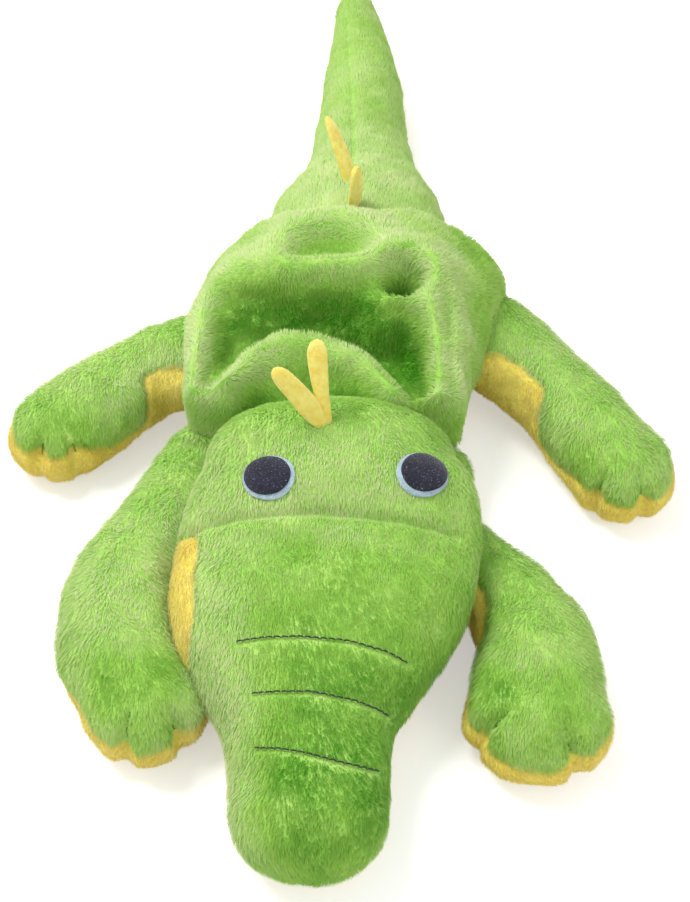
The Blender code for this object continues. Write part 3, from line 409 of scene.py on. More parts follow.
def spine_place(points, spine):
    """For each point in millimetres, its share along a leg's spine and its offset to the spine's left."""
    flat = points[:, :2]
    best = np.full(len(flat), np.inf)
    place, offset = np.zeros(len(flat)), np.zeros(len(flat))
    lengths = [math.dist(a, b) for a, b in zip(spine, spine[1:])]
    done = 0.0
    for a, b, length in zip(spine, spine[1:], lengths):
        a, b = np.array(a, float), np.array(b, float)
        edge = b - a
        t = np.clip((flat - a) @ edge / (edge @ edge), 0.0, 1.0)
        away = flat - (a + t[:, None] * edge)
        distance = norms(away)
        side = edge[0] * (flat[:, 1] - a[1]) - edge[1] * (flat[:, 0] - a[0])
        near = distance < best
        best[near] = distance[near]
        place[near] = (done + t[near] * length) / sum(lengths)
        offset[near] = (side / length)[near]
        done += length
    return place, offset


def smooth_step(value, low, high):
    """Eased rise from 0 at the low value to 1 at the high one."""
    t = np.clip((value - low) / (high - low), 0.0, 1.0)
    return t * t * (3.0 - 2.0 * t)


def leg_seam(leg):
    """Height of a leg's seam in plan: it climbs on the inner side, where the yellow sole shows."""
    def height(mm):
        place, offset = spine_place(mm, leg["spine"])
        climb, start, end = leg["climb"]
        inner = smooth_step(offset * leg["inner"], 0.0, LEG_INNER_REACH)
        toes = smooth_step(place, *TOE_RISE_SHARES)
        return LEG_SEAM_Z + climb * inner * (1.0 - smooth_step(place, start, end)) + leg["toe_rise"] * toes
    return height


def head_seam(mm):
    """Height of the head's lower seam in plan: the head is rolled, so the jaw shows at the left cheek."""
    share = np.clip((HEAD_Y - mm[:, 1]) / HEAD_LENGTH, 0.0, 1.0)
    height = HEAD_SEAM_REAR_Z + (HEAD_SEAM_FRONT_Z - HEAD_SEAM_REAR_Z) * share
    left = smooth_step(-mm[:, 0], *CHEEK_X)
    rise = smooth_step(-mm[:, 1], *CHEEK_REAR) * (1.0 - smooth_step(-mm[:, 1], *CHEEK_FRONT))
    return height + CHEEK_RISE * left * rise


def level_seam(z):
    """Seam at one height."""
    return lambda mm: np.full(len(mm), z)


PRESS_REACH, HIDE_REACH, SKY = 0.04, 0.05, 0.3


def from_above(x, y, lookup):
    """Point of a form straight below a place in plan."""
    return lookup.ray_cast(Vector((x * MM, y * MM, SKY)), Vector((0.0, 0.0, -1.0)))[0]


def pressed_by(points, faces, tree, most):
    """Draws a form in where another one lies against it: each gives way by half of what they share."""
    normals = vertex_normals(points, faces)
    low, high, lookup = tree
    pull = np.zeros(len(points))
    for i in np.flatnonzero(np.all((points > low) & (points < high), axis=1)):
        p = Vector(points[i])
        hit, normal, _, _ = lookup.find_nearest(p, PRESS_REACH)
        if hit is not None and (p - hit).dot(normal) < 0.0:
            pull[i] = min((hit - p).length * 0.5, most)
    return points - normals * pull[:, None]


def back_relief(points, faces):
    """Function for the rise in millimetres, at places in plan, that brings the back to its lines."""
    controls = []
    for line in BACK_LINES:
        for a, b in zip(line, line[1:]):
            a, b = np.array(a), np.array(b)
            steps = max(1, round(np.linalg.norm((b - a)[:2]) / BACK_STEP))
            controls += [a + (b - a) * i / steps for i in range(steps)]
        controls.append(np.array(line[-1]))
    controls = np.array(controls)
    lookup = tree_of(points, faces)
    change = []
    for x, y, z in controls:
        hit = from_above(x, y, lookup)
        change.append(z - hit.z / MM if hit else 0.0)

    def kernel(distance):
        r = distance * math.sqrt(5.0) / BACK_REACH
        return (1.0 + r + r * r / 3.0) * np.exp(-r)

    gaps = np.linalg.norm(controls[:, None, :2] - controls[None, :, :2], axis=2)
    weights = np.linalg.solve(kernel(gaps) + BACK_SLACK * np.eye(len(controls)), np.array(change))

    def relief(mm):
        total = np.zeros(len(mm))
        for start in range(0, len(mm), 20000):
            part = slice(start, start + 20000)
            reach = np.linalg.norm(mm[part, None, :2] - controls[None, :, :2], axis=2)
            total[part] = kernel(reach) @ weights
        return total
    return relief


def sculpt_torso(points, relief):
    """Passes the back through its lines: folds, the hollow between them, its pocket and its dimple."""
    mm = points / MM
    low, high = (TORSO_WIDEST_Z + z for z in BACK_FADE)
    mm[:, 2] += relief(mm) * smooth_step(mm[:, 2], low, high)
    return mm * MM


def seam_pinch(points, faces, distance, depth, width):
    """Draws the points in along a seam, at a signed distance from it in millimetres."""
    normals = vertex_normals(points, faces)
    pull = depth * np.exp(-0.5 * (distance / width) ** 2)
    return points - normals * (pull * MM)[:, None]


def linked(name, data):
    """Object with some data, linked into the scene."""
    obj = bpy.data.objects.new(name, data)
    bpy.context.scene.collection.objects.link(obj)
    return obj


def mesh_object(name, points, faces, material):
    """Object made of points and faces."""
    mesh = bpy.data.meshes.new(name)
    mesh.from_pydata([tuple(p) for p in points], [], faces)
    mesh.update()
    mesh.shade_smooth()
    mesh.materials.append(material)
    return linked(name, mesh)


CUT_ANGLE, FELT_ANGLE = math.radians(60.0), math.radians(50.0)


def split_half(name, points, faces, seam, keep_above):
    """Upper or lower half of a closed form, as an object and its open skin's triangles.

    The seam's height varies in plan, so the form is sheared until the seam is level, cut and sheared back.
    """
    def sheared(co, sign):
        out = np.array(co)
        out[:, 2] += sign * seam(out / MM) * MM
        return out

    bm = bmesh.new()
    verts = [bm.verts.new(tuple(p)) for p in sheared(points, -1.0)]
    for face in faces:
        bm.faces.new([verts[i] for i in face])
    bm.normal_update()
    bmesh.ops.bisect_plane(
        bm, geom=bm.verts[:] + bm.edges[:] + bm.faces[:], dist=1e-7, plane_co=(0.0, 0.0, 0.0),
        plane_no=(0.0, 0.0, 1.0), clear_inner=keep_above, clear_outer=not keep_above,
    )
    bm.verts.ensure_lookup_table()
    back = sheared([v.co[:] for v in bm.verts], 1.0)
    for vert, co in zip(bm.verts, back):
        vert.co = co
    bm.normal_update()
    skin = bm.copy()
    bmesh.ops.triangulate(skin, faces=skin.faces[:])
    skin.verts.ensure_lookup_table()
    skin.normal_update()
    co = np.array([v.co[:] for v in skin.verts])
    no = np.array([v.normal[:] for v in skin.verts])
    tris = np.array([[v.index for v in f.verts] for f in skin.faces])
    skin.free()
    rim = [e for e in bm.edges if e.is_boundary]
    bmesh.ops.holes_fill(bm, edges=rim, sides=0)
    mesh = bpy.data.meshes.new(name)
    bm.to_mesh(mesh)
    bm.free()
    mesh.shade_smooth()
    mesh.set_sharp_from_angle(angle=CUT_ANGLE)
    return linked(name, mesh), (co, no, tris)


# Materials

WHITE, BLACK = (1.0, 1.0, 1.0, 1.0), (0.0, 0.0, 0.0, 1.0)


def linear(r, g, b):
    """Colour as the photograph's 0 to 255 values, made linear."""
    out = []
    for value in (r, g, b):
        c = value / 255.0
        out.append(c / 12.92 if c <= 0.04045 else ((c + 0.055) / 1.055) ** 2.4)
    return (*out, 1.0)


def new_material(name):
    """Material, its node tree and its main shader."""
    mat = bpy.data.materials.new(name)
    mat.use_nodes = True
    return mat, mat.node_tree, mat.node_tree.nodes["Principled BSDF"]


def feed(tree, node, inputs):
    """Gives inputs of a node their values, or links other nodes' outputs to them."""
    for key, value in inputs.items():
        if isinstance(value, bpy.types.NodeSocket):
            tree.links.new(value, node.inputs[key])
        else:
            node.inputs[key].default_value = value


def add_node(tree, kind, inputs=None, **settings):
    """Adds a node with its settings and inputs, and gives its outputs."""
    node = tree.nodes.new("ShaderNode" + kind)
    for key, value in settings.items():
        setattr(node, key, value)
    feed(tree, node, inputs or {})
    return node.outputs


def ramp(tree, factor, stops):
    """Colour from a ramp whose stops are pairs of place and colour."""
    node = tree.nodes.new("ShaderNodeValToRGB")
    tree.links.new(factor, node.inputs["Fac"])
    elements = node.color_ramp.elements
    while len(elements) > 1:
        elements.remove(elements[-1])
    elements[0].position, elements[0].color = stops[0]
    for place, colour in stops[1:]:
        elements.new(place).color = colour
    return node.outputs["Color"]


def grain(tree, scale, detail, roughness=0.5):
    """Noise over a piece, fixed to the piece."""
    where = add_node(tree, "TexCoord")["Object"]
    inputs = {"Vector": where, "Scale": scale, "Detail": detail, "Roughness": roughness}
    return add_node(tree, "TexNoise", inputs)["Fac"]


def fabric(name, stops, scale, roughness, sheen, bump, bump_scale):
    """Cloth whose colour wanders between stops, with a fine uneven surface."""
    mat, tree, shader = new_material(name)
    height = grain(tree, bump_scale, 3.0)
    feed(tree, shader, {
        "Base Color": ramp(tree, grain(tree, scale, 4.0, 0.6), stops), "Roughness": roughness,
        "Sheen Weight": sheen, "Specular IOR Level": 0.2,
        "Normal": add_node(tree, "Bump", {"Strength": bump, "Distance": MM, "Height": height})["Normal"],
    })
    return mat


PILE_ROUGHNESS, PILE_SPECULAR, PILE_SHEEN, SHEEN_ROUGHNESS = 0.75, 0.25, 0.35, 0.4
SHEEN_TINT = (0.85, 1.0, 0.6, 1.0)
PATCH_SCALE, PATCH_SHARE, THROUGH_SHARE = 45.0, 0.5, 0.5


def pile_material(name, roots, tips):
    """Pile whose strands go from a deep root colour, painted shade of the pile's depth, to a pale tip,
    painted sheen, in brushed patches.
    """
    mat, tree, shader = new_material(name)
    parts = add_node(tree, "SeparateColor", {
        "Color": add_node(tree, "VertexColor", layer_name="strand")["Color"],
    })
    patch = grain(tree, PATCH_SCALE, 3.0, 0.55)
    level = add_node(tree, "Math", {0: patch, 1: PATCH_SHARE, 2: parts["Green"]}, operation="MULTIPLY_ADD")
    level = add_node(tree, "Math", {0: level["Value"], 1: PATCH_SHARE / 2.0}, operation="SUBTRACT")["Value"]
    colour = add_node(tree, "Mix", {
        "Factor": parts["Red"], "A": ramp(tree, level, roots), "B": ramp(tree, level, tips),
    }, data_type="RGBA")["Result"]
    feed(tree, shader, {
        "Base Color": colour, "Roughness": PILE_ROUGHNESS, "Specular IOR Level": PILE_SPECULAR,
        "Sheen Weight": PILE_SHEEN, "Sheen Roughness": SHEEN_ROUGHNESS, "Sheen Tint": SHEEN_TINT,
    })
    # light passes through the thin strands
    through = add_node(tree, "BsdfTranslucent", {"Color": colour})["BSDF"]
    both = add_node(tree, "MixShader", {"Fac": THROUGH_SHARE, 1: shader.outputs["BSDF"], 2: through})
    feed(tree, tree.nodes["Material Output"], {"Surface": both["Shader"]})
    return mat


# Scale of the blotches, roughness, sheen, bump and scale of the bump
BASE_FINISH = (60.0, 0.95, 0.2, 0.6, 900.0)
GREEN_BASE = fabric(
    "green_plush_base",
    ((0.3, linear(130, 186, 66)), (0.5, linear(158, 206, 92)), (0.7, linear(182, 218, 118))), *BASE_FINISH,
)
YELLOW_BASE = fabric(
    "yellow_plush_base",
    ((0.3, linear(215, 190, 72)), (0.5, linear(230, 212, 92)), (0.7, linear(238, 222, 112))), *BASE_FINISH,
)
# root stops are painted shade of the pile's depth and tip stops painted sheen; the deep end of each ramp is
# painted shade, the pale end painted highlight
GREEN_PILE = pile_material(
    "green_plush_pile",
    ((0.0, linear(60, 155, 11)), (0.5, linear(160, 213, 80)), (1.0, linear(222, 236, 164))),
    ((0.0, linear(99, 184, 27)), (0.5, linear(205, 234, 128)), (1.0, linear(244, 249, 206))),
)
YELLOW_PILE = pile_material(
    "yellow_plush_pile",
    ((0.0, linear(222, 192, 62)), (0.5, linear(240, 220, 98)), (1.0, linear(248, 234, 130))),
    ((0.0, linear(240, 220, 105)), (0.5, linear(250, 238, 148)), (1.0, linear(254, 246, 190))),
)


# Pile

PILE_LENGTH, SHORT_PILE_LENGTH, PILE_WIDTH = 4.0, 2.6, 0.33
PIECE_STRANDS = 60000
# The way of a strand's lower and upper half, as shares of the skin's normal and the comb
LOWER_SHARES, UPPER_SHARES = (0.70, 0.71), (0.34, 0.94)
STRAND_SINK, STRAND_LOWEST, STRAND_TAPER, STRAND_ROLL = 0.4, 0.05, 0.8, 0.35
SHADE_LEAN, SHADE_SPREAD = 0.12, 0.06
# Corners of a strand's quad and triangle in its cell of the map
CELL_ACROSS_SHARES = (0.15, 0.85, 0.85, 0.15, 0.15, 0.85, 0.5)
CELL_UP_SHARES = (0.1, 0.1, 0.5, 0.5, 0.5, 0.5, 0.9)


def strand_mesh(name, roots, normals, lean, length, width, tint, material):
    """Object of bent, tapering strands, one quad and one triangle each."""
    count = len(roots)
    side = np.cross(lean, normals)
    side /= np.maximum(norms(side), 1e-9)[:, None]
    roll = rng.normal(0.0, STRAND_ROLL, count)
    side = side * np.cos(roll)[:, None] + normals * np.sin(roll)[:, None]
    low = normals * LOWER_SHARES[0] + lean * LOWER_SHARES[1]
    high = normals * UPPER_SHARES[0] + lean * UPPER_SHARES[1]
    base = roots - normals * (STRAND_SINK * MM)
    middle = base + low * (length * 0.5)[:, None]
    tip = middle + high * (length * 0.5)[:, None]
    half = side * (width * 0.5)[:, None]
    corners = [base - half, base + half, middle + half * STRAND_TAPER, middle - half * STRAND_TAPER, tip]
    points = np.stack(corners, axis=1)
    points[:, :, 2] = np.maximum(points[:, :, 2], STRAND_LOWEST * MM)
    first = (np.arange(count) * 5)[:, None]
    loops = np.hstack([first + [0, 1, 2, 3], first + [3, 2, 4]]).reshape(-1)
    starts = (np.arange(count) * 7)[:, None] + [0, 4]
    mesh = bpy.data.meshes.new(name)
    mesh.vertices.add(count * 5)
    mesh.vertices.foreach_set("co", points.reshape(-1))
    mesh.loops.add(count * 7)
    mesh.loops.foreach_set("vertex_index", loops.astype(np.int32))
    mesh.polygons.add(count * 2)
    mesh.polygons.foreach_set("loop_start", starts.reshape(-1).astype(np.int32))
    mesh.update(calc_edges=True)
    mesh.polygons.foreach_set("use_smooth", np.ones(count * 2, bool))
    # red goes from root to tip, for the painted shade at the roots and painted sheen at the tips; green is
    # the strand's own tint, with its painted highlight and shade
    colour = np.zeros((count, 5, 4), np.float32)
    colour[:, :, 0] = (0.0, 0.0, 0.5, 0.5, 1.0)
    colour[:, :, 1] = tint[:, None]
    colour[:, :, 3] = 1.0
    mesh.color_attributes.new("strand", "FLOAT_COLOR", "POINT").data.foreach_set("color", colour.reshape(-1))
    # each strand has its own cell of the map, so that no two share a spot
    cells = int(math.ceil(math.sqrt(count)))
    column = (np.arange(count) % cells)[:, None]
    row = (np.arange(count) // cells)[:, None]
    uv = np.stack([(column + np.array(CELL_ACROSS_SHARES)) / cells, (row + np.array(CELL_UP_SHARES)) / cells],
                  axis=2)
    mesh.uv_layers.new(name="OFBake").data.foreach_set("uv", uv.reshape(-1).astype(np.float32))
    # strands are shaded mostly as the skin that they lie on, which keeps the pile soft
    soft = np.repeat(normals, 5, axis=0).reshape(count, 5, 3).copy()
    soft -= lean[:, None, :] * SHADE_LEAN
    soft += rng.normal(0.0, SHADE_SPREAD, (count, 1, 3))
    soft /= np.linalg.norm(soft, axis=2)[:, :, None]
    mesh.normals_split_custom_set_from_vertices(soft.reshape(-1, 3).astype(np.float32))
    mesh.materials.append(material)
    return linked(name, mesh)


def inside_other(points, others, margin):
    """True for each point that lies deeper than a margin in one of the other forms."""
    hidden = np.zeros(len(points), bool)
    for low, high, tree in others:
        near = np.all((points > low) & (points < high), axis=1) & ~hidden
        for i in np.flatnonzero(near):
            p = Vector(points[i])
            hit, normal, _, _ = tree.find_nearest(p, HIDE_REACH)
            if hit is not None and (p - hit).dot(normal) < -margin:
                hidden[i] = True
    return hidden


CM2_PER_M2 = 1e4
UNDER_NORMAL, UNDER_Z, HIDDEN_DEPTH, COVERED_SHARE = -0.9, 1.0, 6.0, 0.93
PATCH_CELL, WIDE_PATCH, FINE_PATCH = 3.0, 16.0, 6.0
COMB_FINE, COMB_SPREAD, TINT_FINE, TINT_SPREAD, TINT_MOST = 0.08, 0.08, 0.5, 0.05, 0.96
LENGTH_SHARES, WIDTH_SHARES, PRESSED_SHARE = (0.65, 1.1), (0.7, 1.3), 0.35
# Depth of the back's relief for its full painted shade and highlight, their limits, and how far up a face
# turns for them
FOLD_DEPTH, FOLD_SHARES, FOLD_FACING_SHARES = 20.0, (-0.5, 0.3), (0.0, 0.4)


def grow(name, body, slot, skin, comb, material, others, length):
    """Pile on an open skin, combed one way and brushed in patches, with painted highlight and painted shade
    in its tint.
    """
    co, no, tris = skin
    a, b, c = co[tris[:, 0]], co[tris[:, 1]], co[tris[:, 2]]
    area = norms(np.cross(b - a, c - a)) / 2.0
    count = int(area.sum() * CM2_PER_M2 * PILE_DENSITY)
    pick = rng.choice(len(tris), count, p=area / area.sum())
    u, v = rng.random(count), rng.random(count)
    flip = u + v > 1.0
    u[flip], v[flip] = 1.0 - u[flip], 1.0 - v[flip]
    w = 1.0 - u - v
    roots = a[pick] * w[:, None] + b[pick] * u[:, None] + c[pick] * v[:, None]
    normals = no[tris[pick, 0]] * w[:, None] + no[tris[pick, 1]] * u[:, None] + no[tris[pick, 2]] * v[:, None]
    normals /= norms(normals)[:, None]
    # none grows where the toy lies on the surface, under the felt or deep in another form
    keep = ~((normals[:, 2] < UNDER_NORMAL) & (roots[:, 2] < UNDER_Z * MM))
    for place, radius in BALD.get(body, ()):
        keep &= norms(roots - np.array(place)) > radius * MM
    roots, normals = roots[keep], normals[keep]
    keep = ~inside_other(roots, others, HIDDEN_DEPTH * MM)
    roots, normals = roots[keep], normals[keep]
    count = len(roots)
    # brushed patches turn the comb one way or another
    cells = np.round(roots / (PATCH_CELL * MM)).astype(int)
    keys, back = np.unique(cells, axis=0, return_inverse=True)
    wide, fine = (
        np.array([noise.noise_vector(Vector(k) * (PATCH_CELL / patch)) for k in keys])[back.reshape(-1)]
        for patch in (WIDE_PATCH, FINE_PATCH)
    )
    turn, change = BRUSHED[body]
    lean = np.array(comb) + wide * turn + fine * COMB_FINE + rng.normal(0.0, COMB_SPREAD, (count, 3))
    lean -= normals * np.sum(lean * normals, axis=1)[:, None]
    lean /= np.maximum(norms(lean), 1e-9)[:, None]
    sizes = length * MM * rng.uniform(*LENGTH_SHARES, count)
    widths = PILE_WIDTH * MM * rng.uniform(*WIDTH_SHARES, count)
    # the tint holds painted highlight and painted shade from the nap table, besides random brushed patches
    tint = nap_and_painted_light(roots) + change * (wide[:, 2] + TINT_FINE * fine[:, 0]) + rng.normal(0.0, TINT_SPREAD, count)
    # painted shade in the back's hollows and painted highlight on its ridges, on faces that turn up
    if body == "torso":
        painted_fold_light = np.clip(relief(roots / MM) / FOLD_DEPTH, *FOLD_SHARES)
        tint += painted_fold_light * smooth_step(normals[:, 2], *FOLD_FACING_SHARES)
    tint = np.clip(tint, 0.0, TINT_MOST)
    for path, width in PRESSED.get(body, ()):
        near = path_distance(roots, path) / MM
        sizes *= PRESSED_SHARE + (1.0 - PRESSED_SHARE) * smooth_step(near, 0.3 * width, width)
    parts = max(1, math.ceil(count / PIECE_STRANDS))
    for part in range(parts):
        label = name if parts == 1 else f"{name}_{part + 1}"
        strands = (values[part::parts] for values in (roots, normals, lean, sizes, widths, tint))
        dress(strand_mesh(label, *strands, material), body, slot)


# How far brushing turns the comb, and how much it changes the colour
BRUSHED = {
    "torso": (0.25, 0.12), "head": (0.36, 0.17), "tail": (0.3, 0.14), "front_left_leg": (0.42, 0.2),
    "front_right_leg": (0.42, 0.2), "rear_left_leg": (0.4, 0.18), "rear_right_leg": (0.4, 0.18),
}
# Where the pile is painted pale or deep, partly as brushed nap and partly as painted highlight where light
# falls and painted shade in creases and away from the light: place in millimetres, reach and amount
NAP_AND_PAINTED_LIGHT = (
    ((-10, -225, 48), (26, 32, 16), -0.36), ((-8, -180, 62), (26, 22, 16), -0.16),
    ((-10, -100, 72), (46, 20, 30), 0.42), ((-60, -130, 55), (16, 50, 30), 0.22),
    ((-48, -205, 30), (12, 45, 26), 0.72), ((28, -215, 30), (12, 45, 26), -0.24),
    ((-12, -140, 64), (40, 14, 20), -0.06), ((0, 85, 70), (45, 34, 40), 0.3),
    ((0, 190, 50), (40, 90, 40), 0.16), ((-98, -130, 40), (24, 45, 24), 0.48),
    ((-88, -178, 40), (14, 12, 14), -0.22), ((92, -145, 40), (20, 40, 24), 0.26),
    ((-110, -2, 40), (50, 18, 20), 0.44), ((112, -18, 40), (36, 40, 20), 0.34),
    ((-20, -52, 60), (46, 7, 12), -0.1), ((-18, -37, 66), (40, 9, 14), 0.3),
    ((62, 20, 50), (14, 50, 30), -0.08), ((65, -181, 37), (6, 7, 8), -0.4),
    ((89, -179, 37), (6, 8, 8), -0.35), ((-98, -174, 37), (6, 9, 8), -0.35),
    ((-74, -168, 36), (7, 5, 8), -0.35), ((108, -59, 36), (5, 8, 8), -0.35),
    ((-128, -40, 36), (12, 5, 8), -0.2),
)


NAP_LEVEL = 0.55


def dress(obj, body, slot, *nodes):
    """Puts a finished piece in its place of the model, for the solids that it stands for."""
    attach(obj, body)
    if nodes:
        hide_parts(*nodes)


def nap_and_painted_light(roots):
    """Lightness of the pile, 0 to 1 and 0.5 where it is neither brushed up nor down; its pale and deep places
    are brushed nap, painted highlight and painted shade.
    """
    mm = roots / MM
    level = np.full(len(mm), NAP_LEVEL)
    for place, reach, amount in NAP_AND_PAINTED_LIGHT:
        level += amount * np.exp(-0.5 * np.sum(((mm - np.array(place)) / np.array(reach)) ** 2, axis=1))
    return level


def tree_of(points, faces):
    """Search tree of a form."""
    return BVHTree.FromPolygons([tuple(p) for p in points], faces)


def boxed_tree(points, faces):
    """Lowest and highest corner of a form, and its search tree."""
    return points.min(axis=0), points.max(axis=0), tree_of(points, faces)


# Places read off the photograph's frame, and the camera that they are seen through

CAMERA_PLACE = Vector((0.0, -0.530, 0.600))
CAMERA_PITCH = math.radians(50.0)
FOCAL_PIXELS, FRAME_HEIGHT, FRAME_MIDDLE = 1628.0, 902.0, (345.0, 451.0)
SNOUT_ROWS = (
    ((237, 642), (268, 638), (300, 637), (350, 642), (385, 652), (417, 668)), ((253, 694), (280, 692),
    (310, 692), (350, 700), (375, 709), (393, 720)), ((256, 748), (280, 749), (300, 752), (340, 763),
    (365, 769), (383, 773)),
)
BROW_SEAM = (
    (186, 534), (205, 526), (240, 517), (280, 513), (320, 512), (360, 515), (400, 520), (435, 528),
    (458, 536),
)
TAIL_SEAM = ((345, 12), (349, 50), (352, 90), (353, 140), (354, 178))
CHEEK_SEAM = ((226, 458), (208, 484), (194, 512), (184, 534))
EYE_PLACES = {"left": (268.5, 477.0), "right": (423.0, 473.5)}
EYE_RADIUS, EYE_TALL, EYE_FELT = 10.0, 0.87, 1.3


def seen_at(u, v, lookup):
    """Point and normal of a form at a pixel of the photograph's frame."""
    x, y = (u - FRAME_MIDDLE[0]) / FOCAL_PIXELS, (FRAME_MIDDLE[1] - v) / FOCAL_PIXELS
    cos, sin = math.cos(CAMERA_PITCH), math.sin(CAMERA_PITCH)
    way = Vector((x, cos + y * sin, y * cos - sin)).normalized()
    hit, normal, _, _ = lookup.ray_cast(CAMERA_PLACE, way)
    return hit, normal


def path_seen(pixels, lookup):
    """Points of a form along a line of pixels, about 2 mm apart."""
    path = []
    for (u0, v0), (u1, v1) in zip(pixels, pixels[1:]):
        steps = max(1, round(math.dist((u0, v0), (u1, v1)) / 5.0))
        for i in range(steps):
            hit = seen_at(u0 + (u1 - u0) * i / steps, v0 + (v1 - v0) * i / steps, lookup)[0]
            if hit:
                path.append(np.array(hit))
    return path


def path_distance(points, path):
    """Distance from each point to a path in space."""
    near = np.full(len(points), np.inf)
    for a, b in zip(path, path[1:]):
        edge = b - a
        t = np.clip((points - a) @ edge / max(edge @ edge, 1e-12), 0.0, 1.0)
        near = np.minimum(near, norms(points - (a + t[:, None] * edge)))
    return near


def toe_path(leg, toe, lookup):
    """Line of one toe groove, from the paw's back over its front."""
    end, ahead, side = paw_frame(leg)
    turn = math.radians(toe)
    reach = 1.0 / math.hypot(math.sin(turn) / leg["half_width"], math.cos(turn) / leg["cap"])
    path = []
    for share in TOE_LINE_SHARES:
        x, y = end + (side * math.sin(turn) + ahead * math.cos(turn)) * reach * share * (1.0 - TOE_NOTCH)
        hit = from_above(x, y, lookup)
        if hit and hit.z > TOE_LINE_LOWEST * MM:
            path.append(np.array(hit))
    return path


# Forms

DENSE = 1.0
PILE_DENSITY = 230.0 * DENSE
# Sides, rings and cap rings of each form's grid
TORSO_GRID, HEAD_GRID, TAIL_GRID, LEG_GRID = (180, 130, 14), (150, 170, 16), (110, 120, 12), (96, 70, 14)
# Height, spread and seed of the lumps of each form's filling
TORSO_LUMPS, HEAD_LUMPS, TAIL_LUMPS = (1.6, 26.0, 3.0), (1.0, 30.0, 9.0), (1.4, 28.0, 5.0)
LEG_LUMPS, LEG_SEED, PRESS_MOST = (1.4, 24.0), 12.0, 3.0
# Depth and width of the groove along each seam
BROW_GROOVE, CHEEK_GROOVE, TAIL_GROOVE, SIDE_GROOVE = (2.4, 2.0), (1.7, 1.9), (1.3, 1.8), (1.6, 1.8)
# Reach of the pressed pile on both sides of a line
STITCH_PRESS, BROW_PRESS, CHEEK_PRESS, TAIL_PRESS, TOE_PRESS = 2.2, 3.2, 2.2, 2.6, 2.4

points, faces = torso_loft(*TORSO_GRID)
relief = back_relief(points, faces)
forms = {"torso": (slack(sculpt_torso(points, relief), faces, *TORSO_LUMPS), faces)}

points, faces = head_loft(*HEAD_GRID)
points = slack(points, faces, *HEAD_LUMPS)
lookup = tree_of(points, faces)
brow_path, cheek_path = path_seen(BROW_SEAM, lookup), path_seen(CHEEK_SEAM, lookup)
for path, groove in ((brow_path, BROW_GROOVE), (cheek_path, CHEEK_GROOVE)):
    points = seam_pinch(points, faces, path_distance(points, path) / MM, *groove)
forms["head"] = (points, faces)

points, faces = tail_loft(*TAIL_GRID)
points = slack(points, faces, *TAIL_LUMPS)
tail_path = path_seen(TAIL_SEAM, tree_of(points, faces))
forms["tail"] = (seam_pinch(points, faces, path_distance(points, tail_path) / MM, *TAIL_GROOVE), faces)

for index, (leg_name, leg) in enumerate(LEGS.items()):
    points, faces = leg_loft(leg, *LEG_GRID)
    points = slack(shape_toes(points, leg), faces, *LEG_LUMPS, LEG_SEED + index)
    forms[leg_name + "_leg"] = (points, faces)

for leg_name in ("front_left_leg", "front_right_leg"):
    lookups = [boxed_tree(*forms[name]) for name in (leg_name, "head")]
    for name, lookup in zip(("head", leg_name), lookups):
        points, faces = forms[name]
        forms[name] = (pressed_by(points, faces, lookup, PRESS_MOST * MM), faces)
trees = {name: boxed_tree(*form) for name, form in forms.items()}

head_tree = trees["head"][2]
stitch_paths = [path_seen(row, head_tree) for row in SNOUT_ROWS]
EYES = {side: seen_at(*place, head_tree) for side, place in EYE_PLACES.items()}
BALD = {"head": [(hit, EYE_RADIUS * COVERED_SHARE) for hit, _ in EYES.values()]}
PRESSED = {
    "head": [(path, STITCH_PRESS) for path in stitch_paths], "tail": [(tail_path, TAIL_PRESS)],
}
PRESSED["head"] += [(brow_path, BROW_PRESS), (cheek_path, CHEEK_PRESS)]
SEAMS = {"torso": level_seam(TORSO_SEAM_Z), "head": head_seam, "tail": level_seam(TAIL_SEAM_Z)}
REPLACED = {
    "torso": (("torso_back_panel", "torso_stuffing"), ("torso_belly_panel",)),
    "head": (("head_forehead_panel", "head_snout_panel", "head_stuffing"), ("head_jaw_panel",)),
    "tail": (("tail_top_panel", "tail_stuffing"), ("tail_under_panel",)),
}
COMBS = {"torso": (0.0, 0.4, -0.5), "head": (0.0, -0.8, -0.4), "tail": (0.0, 1.0, 0.0)}
toe_paths = {}
for leg_name, leg in LEGS.items():
    body = leg_name + "_leg"
    toe_paths[leg_name] = [toe_path(leg, toe, trees[body][2]) for toe in leg["toes"]]
    PRESSED[body] = [(path, TOE_PRESS) for path in toe_paths[leg_name]]
    SEAMS[body] = leg_seam(leg)
    REPLACED[body] = ((body + "_top_panel", body + "_stuffing"), (body + "_sole_panel",))
    COMBS[body] = (0.0, -0.6, -0.6)

HALVES = (
    ("upper", "green_plush", GREEN_BASE, GREEN_PILE, PILE_LENGTH),
    ("under", "yellow_plush", YELLOW_BASE, YELLOW_PILE, SHORT_PILE_LENGTH),
)
for body, (points, faces) in forms.items():
    seam = SEAMS[body]
    height = points[:, 2] / MM - seam(points / MM)
    points = seam_pinch(points, faces, height, *SIDE_GROOVE)
    others = [tree for name, tree in trees.items() if name != body]
    for (half, slot, base, pile, length), replaced in zip(HALVES, REPLACED[body]):
        obj, skin = split_half(f"{body}_{half}_plush", points, faces, seam, half == "upper")
        obj.data.materials.append(base)
        dress(obj, body, slot, *replaced)
        grow(f"{body}_{half}_pile", body, slot, skin, COMBS[body], pile, others, length)


# Felt and thread

FELT_SHEEN, FELT_BUMP, FELT_GRAIN, FIBRE_GRAIN = 0.3, 0.7, 2200.0, 1500.0


